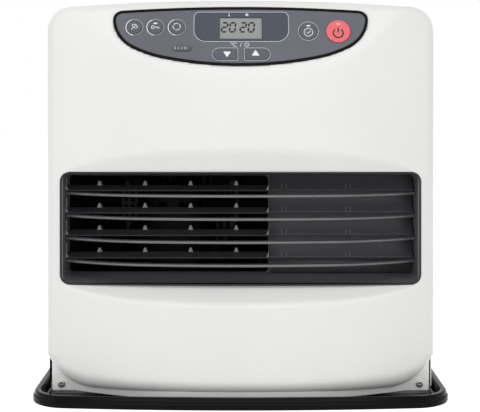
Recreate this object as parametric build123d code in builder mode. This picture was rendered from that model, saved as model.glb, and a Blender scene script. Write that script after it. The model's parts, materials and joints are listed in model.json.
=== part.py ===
from build123d import *
import os
from math import asin, cos, degrees, radians, sin

# Paraffin heater with an electronic burner: a white steel cabinet on a black drip tray, a louvred
# warm air outlet in the bowed front, a control panel on the leaning top, a tank under a lid.
# Millimetres, +Z up, front towards -Y, origin on the floor under the middle of the drip tray.

# Cabinet
cabinet_width = 430.0
cabinet_depth = 300.0
cabinet_height = 438.0
cabinet_foot = 6.0
top_crown = 6.0
top_corner_radius = 26.0
front_edge_radius = 12.0
rear_edge_radius = 16.0
side_cut = 0.05
sheet = 1.2
seam_gap = 0.3
front_seam = 67.0
top_seam = 36.0
rear_lap = 30.0

# Bow of the front: a long arc in the middle, a shorter one to each side
bow_mid_radius = 900.0
bow_mid_half = 100.0
bow_side_radius = 240.0

# Leaning top of the front
lean_angle = 21.0
lean_drop = 83.0
lean_blend = 30.0
lean_top_radius = 10.0

# Lower edge of the bowed face and the strip set back below it
pillow_foot = 16.5
pillow_corner_inset = 52.0
pillow_corner_radius = 60.0
strip_setback = 16.0
strip_top = 50.0
ear_front = 48.5
ear_inset = 5.5

# Drip tray
tray_reach = 12.5
tray_height = 12.5
tray_corner_radius = 32.0
tray_rim = 9.0
tray_draft = 8.0
tray_rim_round = 6.0
tray_floor = 2.0

# Base
base_height = 8.0
base_sheet = 1.5
base_tab_height = 12.0
base_tab_width = 22.0
base_inset = 7.0

# Warm air outlet
outlet_margin = 17.7
outlet_height = 123.6
outlet_middle = 187.6
outlet_corner_radius = 9.0
outlet_face = 38.0
outlet_lip = 6.0
outlet_flare = 20.0
frame_gap = 0.3
frame_sheet = 1.2
frame_depth = 37.0
frame_top_drop = 5.4
frame_foot_rise = 6.4
frame_side_draw = 2.2
window_width = 225.0
window_corner_radius = 4.0
closed_rib_drop = 4.0
closed_rib_depth = 5.0

# Bowed bars and straight slats of the outlet
bar_setback = 12.5
bar_depth = 8.0
bar_thickness = 3.0
bar_round = 1.2
bar_top = 224.4
row_pitch = 25.05
row_count = 4
bar_end_draw = 3.3
slat_end_draw = 4.0
slat_front = 55.2
slat_depth = 14.0
slat_drop = 4.5
slat_thickness = 1.2
slat_rise_over_bar = 3.4
tab_width = 5.5
tab_height = 5.3
tab_first = -157.0
tab_pitch = 50.7
tab_count = 4

# Control panel: arcs of its outline from the middle of the lower edge round to the top
lens_foot = 10.5
lens_radii = (400.0, 130.0, 41.0, 11.0)
lens_turns = (12.0, 16.0, 56.0, 92.0)
bezel_wall = 2.7
bezel_proud = 1.5
bezel_depth = 6.0
bezel_ledge = 1.2
bezel_gap = 0.3
fascia_proud = 0.8
fascia_thickness = 2.8
fascia_gap = 0.2
board_inset = 9.0
board_thickness = 1.6
board_standoff = 10.4
standoff_radius = 2.5
standoff_places = ((-92.0, 38.0), (92.0, 38.0), (-58.0, 66.0), (58.0, 66.0))

# Display
display_width = 100.7
display_height = 32.9
display_place = (0.85, 56.5)
display_top_radius = 5.0
display_foot_radius = 12.0
display_proud = 0.6
lcd_width = 46.1
lcd_height = 25.2
lcd_place = (0.25, 54.6)
lcd_gap = 0.3
lcd_back_margin = 4.5
lcd_sink = 0.5

# Buttons: place on the leaning face, across and up the slope, and radius
round_buttons = {
    "save_button": (-115.0, 55.9, 8.5),
    "child_lock_button": (-92.3, 55.9, 8.5),
    "extend_button": (-69.1, 55.9, 8.5),
    "timer_button": (73.5, 51.3, 10.1),
    "power_button": (105.7, 50.6, 13.2),
}
pill_width = 19.4
pill_height = 5.9
pill_place = (-63.0, 30.7)
arrow_gap_half = 4.5
arrow_length = 26.0
arrow_straight = 20.0
arrow_height = 12.9
arrow_place = (0.8, 24.2)
button_gap = 0.35
button_proud = 1.5
button_flange = 1.2
button_flange_thickness = 2.0
button_flange_gap = 0.4
button_stem_radius = 2.0
button_stem_length = 4.4
button_travel = 1.2
button_edge_round = 0.8
switch_radius = 3.0
switch_gap = 0.3

# Tank lid in the top cover, hinged along its left edge
lid_inset = 152.4
lid_width = 123.4
lid_front = 62.0
lid_length = 184.0
lid_gap = 0.6
lid_hinge_gap = 2.2
lid_pin_inset = 1.4
lid_pin_depth = 3.0
lid_pin_radius = 1.0
lid_pin_length = 3.0
lid_pin_clearance = 0.1
lid_lug_radius = 2.0
lid_lug_width = 8.0
lid_ear_thickness = 2.6
lid_ear_reach = 4.0
lid_notch_radius = 9.0
lid_ledge_width = 4.0
lid_ledge_length = 90.0

# Carrying grips in the side panels
grip_length = 96.0
grip_height = 30.0
grip_depth = 22.0
grip_wall = 1.6
grip_flange = 5.0
grip_gap = 0.3
grip_y = 25.0
grip_drop = 108.0

# Burner
burner_place = (-80.0, 30.0)
pot_radius = 36.0
pot_wall = 2.0
pot_foot = 40.0
pot_leg_radius = 4.0
pot_leg_place_radius = 28.0
pot_leg_count = 3
flame_ring_radius = 30.0
flame_ring_height = 26.0
flame_ring_ports = 18
flame_port_radius = 2.0
flame_port_level_shares = (0.35, 0.7)
cylinder_radius = 46.0
cylinder_height = 98.0
cylinder_wall = 1.2
cylinder_port_radius = 5.0
cylinder_ports = 12
igniter_radius = 3.0
igniter_length = 40.0

# Duct from the fan through the burner to the outlet
duct_left = -196.5
duct_right = 35.0
duct_foot = 118.0
duct_top = 258.0
duct_sheet = 1.2
duct_back = 72.0
duct_front_gap = 0.3

# Combustion air blower
blower_place = (-166.0, 60.0)
blower_radius = 42.0
blower_front = 12.0
blower_depth = 38.0
blower_wall = 1.6
blower_inlet_radius = 20.0
blower_spout_half = 11.0
blower_foot_width = 50.0
impeller_radius = 34.0
impeller_hub_radius = 9.0
impeller_blades = 12
impeller_blade_thickness = 1.6
impeller_blade_turn = 25.0
impeller_side_gap = 3.0
blower_motor_radius = 24.0
blower_motor_length = 42.0
shaft_radius = 2.5
shaft_clearance = 0.1
shaft_reach_share = 0.33
shaft_bore_share = 0.5

# Convection fan at the back
fan_place = (-80.0, 190.0)
fan_radius = 74.0
fan_front = 114.0
fan_depth = 22.0
fan_hub_radius = 16.0
fan_blades = 5
fan_blade_thickness = 2.0
fan_blade_pitch = 32.0
fan_blade_width = 34.0
fan_ring_radius = 80.0
fan_ring_wall = 1.6
fan_arm_width = 12.0
fan_arm_thickness = 3.0
fan_arm_turns = (90, 210, 330)
fan_motor_radius = 26.0
fan_motor_length = 34.0

# Rear panel, guard and filter
rear_plate_gap = 0.3
rear_opening_radius = 78.0
guard_width = 196.0
guard_thickness = 2.0
guard_rail_depth = 9.0
guard_rail_wall = 2.0
guard_rail_lip = 4.0
guard_slot_width = 5.0
guard_slot_pitch = 9.0
guard_slot_count = 17
guard_rib = 4.0
filter_thickness = 5.0
filter_border = 9.0
filter_gap = 0.4
filter_net_thickness = 0.8
filter_net_count = 15
filter_net_strand = 1.6
filter_tab_width = 40.0
filter_tab_height = 8.0
rear_slot_length = 70.0
rear_slot_width = 5.0
rear_slot_pitch = 12.0
rear_slot_count = 10
rear_slot_x = 125.0
rear_slot_drop = 138.0

# Fuel tank, cap, handle and sump
partition_inset = 171.0
tank_inset = 149.0
tank_width = 118.0
tank_front = -40.0
tank_depth = 152.0
tank_foot = 76.0
tank_headroom = 42.0
tank_edge_radius = 14.0
tank_sheet = 1.2
neck_radius = 17.0
neck_length = 14.0
cap_radius = 22.0
cap_height = 28.0
cap_wall = 2.0
cap_gap = 0.2
cap_grips = 24
cap_grip_radius = 1.0
handle_length = 96.0
handle_width = 18.0
handle_rise = 26.0
handle_bar = 7.0
handle_post = 10.0
handle_round = 2.4
sump_margin = 6.0
sump_front_margin = 34.0
sump_height = 36.0
sump_wall = 1.6
sump_well_radius = 26.0
sump_collar_wall = 3.0
seat_gap = 0.3

# Fuel pump and pipe
pump_radius = 11.0
pump_height = 42.0
pump_flange_height = 7.0
pump_place = (84.0, -56.0)
pipe_radius = 2.0
pipe_level = 106.0
pipe_bend = 8.0
pipe_turn = 14.0
pipe_end_drop = 26.0
pipe_hole_radius = 5.0

# Electronics
main_board_front = -60.0
main_board_length = 140.0
main_board_drop = 158.0
main_board_height = 108.0
main_board_standoff = 5.0
relay_sides = (18.0, 16.0, 20.0)
relay_places = ((-35.0, 25.0), (-35.0, 55.0), (-35.0, 85.0), (30.0, 30.0))
capacitor_radius = 8.0
capacitor_length = 22.0
capacitor_places = ((0.0, 70.0), (25.0, 70.0), (55.0, 70.0))
transformer_place = (-8.0, 100.0)
transformer_core = (50.0, 40.0, 42.0)
transformer_coil_swell = 8.0
transformer_coil_height = 26.0
transformer_coil_half = 16.6
tip_switch_place = (14.0, -40.0)
tip_switch_side = 30.0
tip_switch_height = 40.0
tip_switch_wall = 1.6
pendulum_rod_radius = 1.2
pendulum_bob_radius = 7.0
pendulum_bob_height = 8.0
pendulum_length = 24.0
pendulum_pin_radius = 1.0

# Cord gland in the rear panel
gland_place = (160.0, 40.0)
gland_radius = 9.0
gland_flange_radius = 12.0
gland_flange_thickness = 2.5
gland_length = 10.0
gland_bore_radius = 3.8
gland_gap = 0.2

# Screws
screw_head_radius = 4.0
screw_head_height = 2.4
screw_shank_radius = 2.0
screw_length = 9.0
screw_hole_clearance = 0.3
screw_slot_width = 1.0
screw_slot_length = 4.8
screw_slot_depth = 1.2
screw_dome_share = 0.5
front_screw_inset = 16.5
front_screw_height = 13.4
rear_screw_heights = (60.0, 210.0)
rear_screw_drop = 68.0
rear_screw_inset = 22.0

overrun = 2.0
tolerance = 0.01
edge_shares = (0, 0.5, 1)

half_width = cabinet_width / 2
tray_width = cabinet_width + 2 * tray_reach
tray_depth = cabinet_depth + 2 * tray_reach
lean_height = cabinet_height - lean_drop
ear_half_width = half_width - ear_inset
base_front_half = half_width - base_inset
outlet_width = cabinet_width - 2 * outlet_margin
bar_half_length = outlet_width / 2 - bar_end_draw
slat_half_length = outlet_width / 2 - slat_end_draw
lid_left = half_width - lid_inset
tank_left = half_width - tank_inset
tank_height = cabinet_height - tank_headroom - tank_foot
partition_place = half_width - partition_inset
main_board_foot = cabinet_height - main_board_drop
front_screw_half = half_width - front_screw_inset
rear_screw_levels = rear_screw_heights + (cabinet_height - rear_screw_drop,)
grip_z = cabinet_height - grip_drop
front_y = -cabinet_depth / 2
rear_y = cabinet_depth / 2
seam_y = front_y + front_seam
seam_z = cabinet_height - top_seam
lean_sin = sin(radians(lean_angle))
lean_cos = cos(radians(lean_angle))
outlet_y = front_y + outlet_face
frame_back_y = outlet_y + frame_depth
ear_y = front_y + ear_front
base_top = tray_floor + seat_gap + base_height
plate_back_y = rear_y - sheet - rear_plate_gap
plate_front_y = plate_back_y - sheet
bow_mid_turn = degrees(asin(bow_mid_half / bow_mid_radius))
plan_half_width = half_width + side_cut
bow_end_sine = (
    plan_half_width - front_edge_radius - (bow_mid_radius - bow_side_radius) * bow_mid_half / bow_mid_radius
) / (bow_side_radius - front_edge_radius)
bow_side_turn = degrees(asin(bow_end_sine)) - bow_mid_turn
bow_edge_turn = 90 - bow_mid_turn - bow_side_turn

panel_plane = Plane(origin=(0, front_y, lean_height), x_dir=(1, 0, 0), z_dir=(0, -lean_cos, lean_sin))
panel_axis = Axis((0, 0, 0), (0, -lean_cos, lean_sin))

os.makedirs("parts", exist_ok=True)


def keep(piece, name):
    """Label a finished piece and write it."""
    piece.part.label = name
    export_step(piece.part, f"parts/{name}.step")


def block(xs, ys, zs, mode=Mode.ADD):
    """Rectangular block between two values on each axis."""
    with Locations(((xs[0] + xs[1]) / 2, (ys[0] + ys[1]) / 2, (zs[0] + zs[1]) / 2)):
        Box(xs[1] - xs[0], ys[1] - ys[0], zs[1] - zs[0], mode=mode)


def upright(x, y):
    """Plane at floor level under a place, facing up."""
    return Plane((x, y, 0))


def facing_back(x, z):
    """Plane through the middle of the depth, facing backwards, for round pieces along the depth."""
    return Plane(origin=(x, 0, z), x_dir=(1, 0, 0), z_dir=(0, 1, 0))


def facing_front(x, y, z):
    """Plane through a point, facing forwards, for what stands on the front."""
    return Plane(origin=(x, y, z), x_dir=(1, 0, 0), z_dir=(0, -1, 0))


def facing_right(y, z):
    """Plane through the middle of the width, facing right, for round pieces along the width."""
    return Plane(origin=(0, y, z), x_dir=(0, 1, 0), z_dir=(1, 0, 0))


def drum(plane, radius, low, high, mode=Mode.ADD):
    """Round bar along the plane's normal, between two heights above the plane."""
    with BuildSketch(plane.offset(low)) as section:
        Circle(radius)
    extrude(section.sketch, amount=high - low, mode=mode)


def pan_screw(plane):
    """Cross head screw whose domed head stands on the plane and whose shank goes down from it."""
    with BuildSketch(plane.offset(screw_head_height - screw_slot_depth)) as cross:
        Rectangle(screw_slot_length, screw_slot_width)
        Rectangle(screw_slot_width, screw_slot_length)
    with BuildPart() as screw:
        drum(plane, screw_head_radius, 0, screw_head_height)
        crown = screw.faces().sort_by(Axis(plane.origin, plane.z_dir))[-1]
        fillet(crown.edges(), screw_head_height * screw_dome_share)
        drum(plane, screw_shank_radius, -screw_length, 0)
        extrude(cross.sketch, amount=screw_slot_depth + overrun, mode=Mode.SUBTRACT)
    return screw.part


# Cabinet forms


def cabinet_plan(inset):
    """Plan of the cabinet drawn inwards by inset; its sides are cut flat by the front view."""
    back = rear_y - inset
    with BuildSketch() as plan:
        with BuildLine():
            mid = JernArc((0, front_y + inset), (1, 0), bow_mid_radius - inset, bow_mid_turn)
            side = JernArc(mid @ 1, mid % 1, bow_side_radius - inset, bow_side_turn)
            edge = JernArc(side @ 1, side % 1, front_edge_radius - inset, bow_edge_turn)
            Polyline(edge @ 1, (plan_half_width - inset, back), (0, back))
            mirror(about=Plane.YZ)
        make_face()
        rear_corners = plan.vertices().group_by(Axis.Y)[-1].filter_by(lambda v: abs(v.X) > overrun)
        fillet(rear_corners, rear_edge_radius - inset)
    return plan.sketch


def front_view(inset, foot, swept_foot):
    """Front view: crowned top with round corners; a swept foot curves up towards the sides."""
    half = half_width - inset
    top = cabinet_height - inset
    shoulder = (half, top - top_crown)
    with BuildSketch(Plane.XZ) as view:
        with BuildLine():
            if swept_foot:
                start = half_width - pillow_corner_inset
                radius = pillow_corner_radius - inset
                base = Line((0, foot), (start, foot))
                corner = JernArc(base @ 1, (1, 0), radius, degrees(asin((half - start) / radius)))
                Line(corner @ 1, shoulder)
            else:
                Polyline((0, foot), (half, foot), shoulder)
            crown_radius = (half**2 + top_crown**2) / (2 * top_crown)
            RadiusArc(shoulder, (0, top), -crown_radius)
            mirror(about=Plane.YZ)
        make_face()
        top_corners = view.vertices().filter_by(lambda v: abs(v.Y - shoulder[1]) < seam_gap)
        fillet(top_corners, top_corner_radius - inset)
    return view.sketch


def side_view(inset, rounded):
    """Side view: upright front that leans back above lean_height; rounded eases the ridge at the top."""
    heel = (front_y + inset * lean_cos, lean_height - inset * lean_sin)
    top = cabinet_height - inset
    ridge = (heel[0] + (top - heel[1]) * lean_sin / lean_cos, top)
    far = cabinet_depth
    knee = (front_y + inset, heel[1] - (heel[0] - front_y - inset) * lean_cos / lean_sin)
    with BuildSketch(Plane.YZ) as view:
        with BuildLine():
            Polyline((knee[0], -overrun), knee, ridge, (far, top), (far, -overrun), close=True)
        make_face()
        if rounded:
            ridge_corner = view.vertices().filter_by(lambda v: abs(v.X - ridge[0]) < seam_gap)
            fillet(ridge_corner, lean_top_radius - inset)
    return view.sketch


def cabinet_form(inset, foot, swept_foot):
    """Solid form of the cabinet, drawn inwards by inset, standing on foot."""
    plan = cabinet_plan(inset)
    view = front_view(inset, foot, swept_foot)
    profile = side_view(inset, False)
    eased_profile = side_view(inset, True)
    with BuildPart() as form:
        extrude(plan, amount=cabinet_height + overrun)
        extrude(view, amount=cabinet_depth, both=True, mode=Mode.INTERSECT)
        extrude(profile, amount=cabinet_width, both=True, mode=Mode.INTERSECT)
        lean_edges = form.edges().filter_by(on_lean_edge(inset))
        fillet(lean_edges, lean_blend - inset)
        extrude(eased_profile, amount=cabinet_width, both=True, mode=Mode.INTERSECT)
    return form.part


def on_lean_edge(inset):
    """Selector of the edges where the leaning face meets the bowed front, below the top."""
    normal = Vector(0, -lean_cos, lean_sin)
    heel = Vector(0, front_y, lean_height) - normal * inset
    limit = cabinet_height - top_crown - lean_top_radius

    def chosen(edge):
        points = [edge.position_at(share) for share in edge_shares]
        on_face = all(abs((point - heel).dot(normal)) < tolerance for point in points)
        return on_face and points[1].Z < limit

    return chosen


def strip_plan(inset):
    """Plan of the strip under the bowed face: set back, with a flat ear at each end."""
    front = front_y + strip_setback + inset
    with BuildSketch(Plane.XY.offset(cabinet_foot)) as plan:
        with BuildLine():
            mid = JernArc((0, front), (1, 0), bow_mid_radius - strip_setback - inset, bow_mid_turn)
            side = JernArc(mid @ 1, mid % 1, bow_side_radius - strip_setback - inset, bow_side_turn)
            Polyline(side @ 1, ((side @ 1).X, seam_y), (0, seam_y))
            mirror(about=Plane.YZ)
        make_face()
        Rectangle(2 * (ear_half_width - inset), cabinet_depth, mode=Mode.INTERSECT)
        with Locations((0, (ear_y + inset + seam_y) / 2)):
            Rectangle(2 * (ear_half_width - inset), seam_y - ear_y - inset)
    return plan.sketch


def outlet_recess(wall):
    """Flared recess round the outlet and its straight lip, drawn outwards by wall."""
    width = outlet_width + 2 * wall
    height = outlet_height + 2 * wall
    with BuildPart() as recess:
        with BuildSketch(Plane.XZ.offset(-outlet_y)):
            with Locations((0, outlet_middle)):
                RectangleRounded(width, height, outlet_corner_radius + wall)
        extrude(amount=outlet_face + overrun, taper=-outlet_flare)
        with BuildSketch(Plane.XZ.offset(-outlet_y)):
            with Locations((0, outlet_middle)):
                RectangleRounded(width, height, outlet_corner_radius + wall)
        extrude(amount=-outlet_lip)
    return recess.part


def lens(level, inset, depth, mode=Mode.ADD):
    """Plate in the outline of the control panel, drawn inwards, from level down by depth."""
    headings = [sum(lens_turns[:count]) for count in range(len(lens_turns) + 1)]
    reach = sum(
        radius * (sin(radians(after)) - sin(radians(before)))
        for radius, before, after in zip(lens_radii, headings, headings[1:])
    )
    last_turn = 180 - headings[-1]
    last_radius = reach / sin(radians(last_turn))
    with BuildSketch(panel_plane.offset(level - depth)) as outline:
        with BuildLine():
            point, heading = Vector(0, lens_foot + inset), Vector(1, 0)
            for radius, turn in zip(lens_radii + (last_radius,), lens_turns + (last_turn,)):
                arc = JernArc(point, heading, radius - inset, turn)
                point, heading = arc @ 1, arc % 1
            mirror(about=Plane.YZ)
        make_face()
    extrude(outline.sketch, amount=depth, mode=mode)


# Drip tray

with BuildPart() as drip_tray:
    with BuildSketch():
        RectangleRounded(tray_width, tray_depth, tray_corner_radius)
    extrude(amount=tray_height)
    with BuildSketch(Plane.XY.offset(tray_height)):
        RectangleRounded(
            tray_width - 2 * tray_rim, tray_depth - 2 * tray_rim, tray_corner_radius - tray_rim
        )
    extrude(amount=tray_floor - tray_height, taper=tray_draft, mode=Mode.SUBTRACT)
    top_face = drip_tray.faces().filter_by(Axis.Z).sort_by(Axis.Z)[-1]
    fillet(top_face.outer_wire().edges(), tray_rim_round)
    fillet(drip_tray.faces().filter_by(Axis.Z).sort_by(Axis.Z)[-1].inner_wires()[0].edges(), tray_floor)
keep(drip_tray, "drip_tray")

# Base plate that the cabinet is screwed to, standing on the tray's floor

base_foot = tray_floor + seat_gap
base_front_y = ear_y + sheet + seam_gap
base_outline = cabinet_plan(sheet + seam_gap)
front_screw_hole = screw_shank_radius + screw_hole_clearance
with BuildPart() as base_plate:
    extrude(base_outline, amount=base_top)
    block(
        (-half_width, half_width),
        (seam_y + seam_gap, plate_front_y - seam_gap),
        (base_foot, base_top),
        Mode.INTERSECT,
    )
    block(
        (-base_front_half, base_front_half),
        (base_front_y, seam_y + 2 * base_sheet),
        (base_foot, base_top),
    )
    block(
        (base_sheet - base_front_half, base_front_half - base_sheet),
        (base_front_y + base_sheet, plate_front_y - seam_gap - base_sheet),
        (base_foot, base_top - base_sheet),
        Mode.SUBTRACT,
    )
    for side in (-1, 1):
        middle = side * front_screw_half
        block(
            sorted((side * base_front_half, side * (base_front_half - base_tab_width))),
            (base_front_y, base_front_y + base_sheet),
            (base_top - base_sheet, base_top + base_tab_height),
        )
        drum(
            facing_back(middle, front_screw_height),
            front_screw_hole,
            base_front_y - overrun,
            base_front_y + base_sheet + overrun,
            Mode.SUBTRACT,
        )
keep(base_plate, "base_plate")

# Front panel: one pressing with the bowed face, the recess, the leaning top and the strip below

outer_form = cabinet_form(0, pillow_foot, True)
inner_form = cabinet_form(sheet, pillow_foot + sheet, True)
outer_strip = strip_plan(0)
inner_strip = strip_plan(sheet)
outer_recess = outlet_recess(0)
inner_recess = outlet_recess(sheet)

with BuildPart() as front_hollow:
    add(inner_form)
    add(inner_recess, mode=Mode.SUBTRACT)

with BuildPart() as front_panel:
    add(outer_form)
    add(outer_recess, mode=Mode.SUBTRACT)
    extrude(outer_strip, amount=strip_top - cabinet_foot)
    add(front_hollow.part, mode=Mode.SUBTRACT)
    extrude(inner_strip, amount=strip_top - cabinet_foot, mode=Mode.SUBTRACT)
    split(bisect_by=Plane.XZ.offset(-seam_y), keep=Keep.TOP)
    lens(overrun, 0, overrun + lean_blend, Mode.SUBTRACT)
    for side in (-1, 1):
        drum(
            facing_back(side * front_screw_half, front_screw_height),
            front_screw_hole,
            ear_y - overrun,
            ear_y + sheet + overrun,
            Mode.SUBTRACT,
        )
keep(front_panel, "front_panel")

with BuildPart() as front_panel_screws:
    for side in (-1, 1):
        add(pan_screw(facing_front(side * front_screw_half, ear_y, front_screw_height)))
keep(front_panel_screws, "front_panel_screws")

# Cabinet behind the front panel: shell cut at the seams into two sides and a top

outer_body = cabinet_form(0, cabinet_foot, False)
inner_body = cabinet_form(sheet, -overrun, False)
behind_seam = seam_y + seam_gap
lap_x = half_width - rear_lap
lid_back = lid_length - lid_front

with BuildPart() as cabinet_shell:
    add(outer_body)
    add(inner_body, mode=Mode.SUBTRACT)
    block(
        (-half_width - overrun, half_width + overrun),
        (front_y - overrun, behind_seam),
        (0, cabinet_height + overrun),
        Mode.SUBTRACT,
    )

for name, side in (("left_side_panel", -1), ("right_side_panel", 1)):
    with BuildPart() as side_panel:
        add(cabinet_shell.part)
        block(
            sorted((side * lap_x, side * (half_width + overrun))),
            (behind_seam - overrun, rear_y + overrun),
            (0, seam_z - seam_gap),
            Mode.INTERSECT,
        )
        with BuildSketch(facing_right(grip_y, grip_z).offset(side * half_width)) as grip_hole:
            SlotOverall(grip_length + 2 * grip_gap, grip_height + 2 * grip_gap)
        extrude(grip_hole.sketch, amount=2 * sheet, both=True, mode=Mode.SUBTRACT)
        for height in rear_screw_levels:
            drum(
                facing_back(side * (half_width - rear_screw_inset), height),
                front_screw_hole,
                rear_y - 2 * sheet,
                rear_y + overrun,
                Mode.SUBTRACT,
            )
    keep(side_panel, name)

for name, side in (("left_carry_grip", -1), ("right_carry_grip", 1)):
    face = facing_right(grip_y, grip_z)
    with BuildPart() as carry_grip:
        with BuildSketch(face.offset(side * half_width)) as outer_slot:
            SlotOverall(grip_length, grip_height)
        extrude(outer_slot.sketch, amount=-side * grip_depth)
        with BuildSketch(face.offset(side * (half_width - sheet - seam_gap))) as flange:
            SlotOverall(grip_length + 2 * grip_flange, grip_height + 2 * grip_flange)
        extrude(flange.sketch, amount=-side * grip_wall)
        with BuildSketch(face.offset(side * half_width)) as inner_slot:
            SlotOverall(grip_length - 2 * grip_wall, grip_height - 2 * grip_wall)
        extrude(inner_slot.sketch, amount=-side * (grip_depth - grip_wall), mode=Mode.SUBTRACT)
    keep(carry_grip, name)

# Top cover with the opening for the tank lid, ears for its hinge pins and a ledge under its free edge

lid_right = lid_left + lid_width
hinge_x = lid_left + lid_pin_inset
crown_radius = (half_width**2 + top_crown**2) / (2 * top_crown)


def crown_height(x):
    """Height of the crowned top at a distance from the middle."""
    return cabinet_height - crown_radius + (crown_radius**2 - x**2) ** 0.5


hinge_z = crown_height(hinge_x) - lid_pin_depth
hinge_line = facing_back(hinge_x, hinge_z)
lid_ends = ((-lid_front, -1), (lid_back, 1))

with BuildPart() as top_cover:
    add(cabinet_shell.part)
    block(
        (-half_width - overrun, half_width + overrun),
        (seam_y - overrun, rear_y + overrun),
        (seam_z, cabinet_height + overrun),
        Mode.INTERSECT,
    )
    block(
        (lid_left - lid_hinge_gap, lid_right + lid_gap),
        (-lid_front - lid_gap, lid_back + lid_gap),
        (seam_z + 2 * sheet, cabinet_height + overrun),
        Mode.SUBTRACT,
    )
    for end, direction in lid_ends:
        start = end + direction * lid_gap
        block(
            (hinge_x - lid_ear_reach, hinge_x + lid_ear_reach),
            sorted((start, start + direction * lid_ear_thickness)),
            (hinge_z - lid_ear_reach, crown_height(hinge_x + lid_ear_reach) - sheet / 2),
        )
        drum(
            hinge_line,
            lid_pin_radius + lid_pin_clearance,
            min(end, end + direction * (lid_pin_length + seam_gap)),
            max(end, end + direction * (lid_pin_length + seam_gap)),
            Mode.SUBTRACT,
        )
    ledge_x = lid_right + lid_gap
    ledge_z = crown_height(lid_right) - sheet - seam_gap
    ledge_y = ((lid_back - lid_front - lid_ledge_length) / 2, (lid_back - lid_front + lid_ledge_length) / 2)
    block((ledge_x - lid_ledge_width, ledge_x + lid_ledge_width), ledge_y, (ledge_z - 2 * sheet, ledge_z))
    block(
        (ledge_x, ledge_x + lid_ledge_width),
        ledge_y,
        (ledge_z - sheet, crown_height(ledge_x) - sheet / 2),
    )
keep(top_cover, "top_cover")

with BuildPart() as tank_lid:
    add(outer_body)
    add(inner_body, mode=Mode.SUBTRACT)
    block(
        (lid_left, lid_right),
        (-lid_front, lid_back),
        (seam_z + 2 * sheet, cabinet_height + overrun),
        Mode.INTERSECT,
    )
    with BuildSketch(Plane.XY.offset(seam_z)) as notch:
        with Locations((lid_right, (lid_back - lid_front) / 2)):
            Circle(lid_notch_radius)
    extrude(notch.sketch, amount=2 * top_seam, mode=Mode.SUBTRACT)
    for end, direction in lid_ends:
        inner_end = end - direction * lid_lug_width
        drum(hinge_line, lid_lug_radius, min(end, inner_end), max(end, inner_end))
        block(
            (hinge_x, hinge_x + lid_lug_radius),
            sorted((end, inner_end)),
            (hinge_z, crown_height(hinge_x + lid_lug_radius) - sheet / 2),
        )
        tip = end + direction * lid_pin_length
        drum(hinge_line, lid_pin_radius, min(inner_end, tip), max(inner_end, tip))
keep(tank_lid, "tank_lid")

# Rear panel inside the laps of the sides, with the fan opening, warm-side slots and the gland hole

rear_panel_half = half_width - rear_edge_radius
slot_z = cabinet_height - rear_slot_drop
gland_x, gland_z = gland_place
fan_x, fan_z = fan_place
with BuildPart() as rear_panel:
    block((-rear_panel_half, rear_panel_half), (plate_front_y, plate_back_y), (base_foot, seam_z))
    drum(facing_back(fan_x, fan_z), rear_opening_radius, plate_front_y, plate_back_y, Mode.SUBTRACT)
    with BuildSketch(facing_back(rear_slot_x, slot_z).offset(plate_front_y - overrun)) as slots:
        with GridLocations(rear_slot_length, rear_slot_pitch, 1, rear_slot_count):
            SlotOverall(rear_slot_length, rear_slot_width)
    extrude(slots.sketch, amount=2 * overrun + sheet, mode=Mode.SUBTRACT)
    drum(
        facing_back(gland_x, gland_z),
        gland_radius + gland_gap,
        plate_front_y - overrun,
        plate_back_y + overrun,
        Mode.SUBTRACT,
    )
    for side in (-1, 1):
        for height in rear_screw_levels:
            drum(
                facing_back(side * (half_width - rear_screw_inset), height),
                front_screw_hole,
                plate_front_y - overrun,
                plate_back_y + overrun,
                Mode.SUBTRACT,
            )
keep(rear_panel, "rear_panel")

with BuildPart() as rear_panel_screws:
    for side in (-1, 1):
        for height in rear_screw_levels:
            place = Plane(
                origin=(side * (half_width - rear_screw_inset), rear_y, height),
                x_dir=(1, 0, 0),
                z_dir=(0, 1, 0),
            )
            add(pan_screw(place))
keep(rear_panel_screws, "rear_panel_screws")

with BuildPart() as cord_gland:
    gland_line = facing_back(gland_x, gland_z)
    drum(gland_line, gland_radius, plate_back_y - gland_length, plate_back_y + gland_gap)
    drum(
        gland_line,
        gland_flange_radius,
        plate_back_y + gland_gap,
        plate_back_y + gland_gap + gland_flange_thickness,
    )
    fillet(cord_gland.faces().sort_by(Axis.Y)[-1].edges(), gland_flange_thickness / 2)
    drum(gland_line, gland_bore_radius, plate_front_y - gland_length, rear_y + gland_length, Mode.SUBTRACT)
keep(cord_gland, "cord_gland")

# Rear guard with the rails that the air filter slides in

guard_left = fan_x - guard_width / 2
guard_right = fan_x + guard_width / 2
guard_foot = fan_z - guard_width / 2
guard_top = fan_z + guard_width / 2
guard_face = plate_back_y + rear_plate_gap
rail_back = guard_face + guard_thickness + guard_rail_depth
with BuildPart() as rear_guard:
    block((guard_left, guard_right), (guard_face, guard_face + guard_thickness), (guard_foot, guard_top))
    with BuildSketch(facing_back(fan_x, fan_z).offset(guard_face - overrun)) as bars:
        with GridLocations(guard_slot_pitch, guard_slot_pitch, guard_slot_count, 1):
            Rectangle(guard_slot_width, 2 * fan_radius)
        Circle(fan_radius, mode=Mode.INTERSECT)
        for turn in (0, 90):
            Rectangle(2 * fan_radius, guard_rib, rotation=turn, mode=Mode.SUBTRACT)
    extrude(bars.sketch, amount=guard_thickness + 2 * overrun, mode=Mode.SUBTRACT)
    for outer, inward in ((guard_left, 1), (guard_right, -1)):
        block(
            sorted((outer, outer + inward * guard_rail_wall)),
            (guard_face, rail_back),
            (guard_foot, guard_top),
        )
        block(
            sorted((outer, outer + inward * (guard_rail_wall + guard_rail_lip))),
            (rail_back - guard_rail_wall, rail_back),
            (guard_foot, guard_top),
        )
    block((guard_left, guard_right), (guard_face, rail_back), (guard_foot, guard_foot + guard_rail_wall))
keep(rear_guard, "rear_guard")

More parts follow.
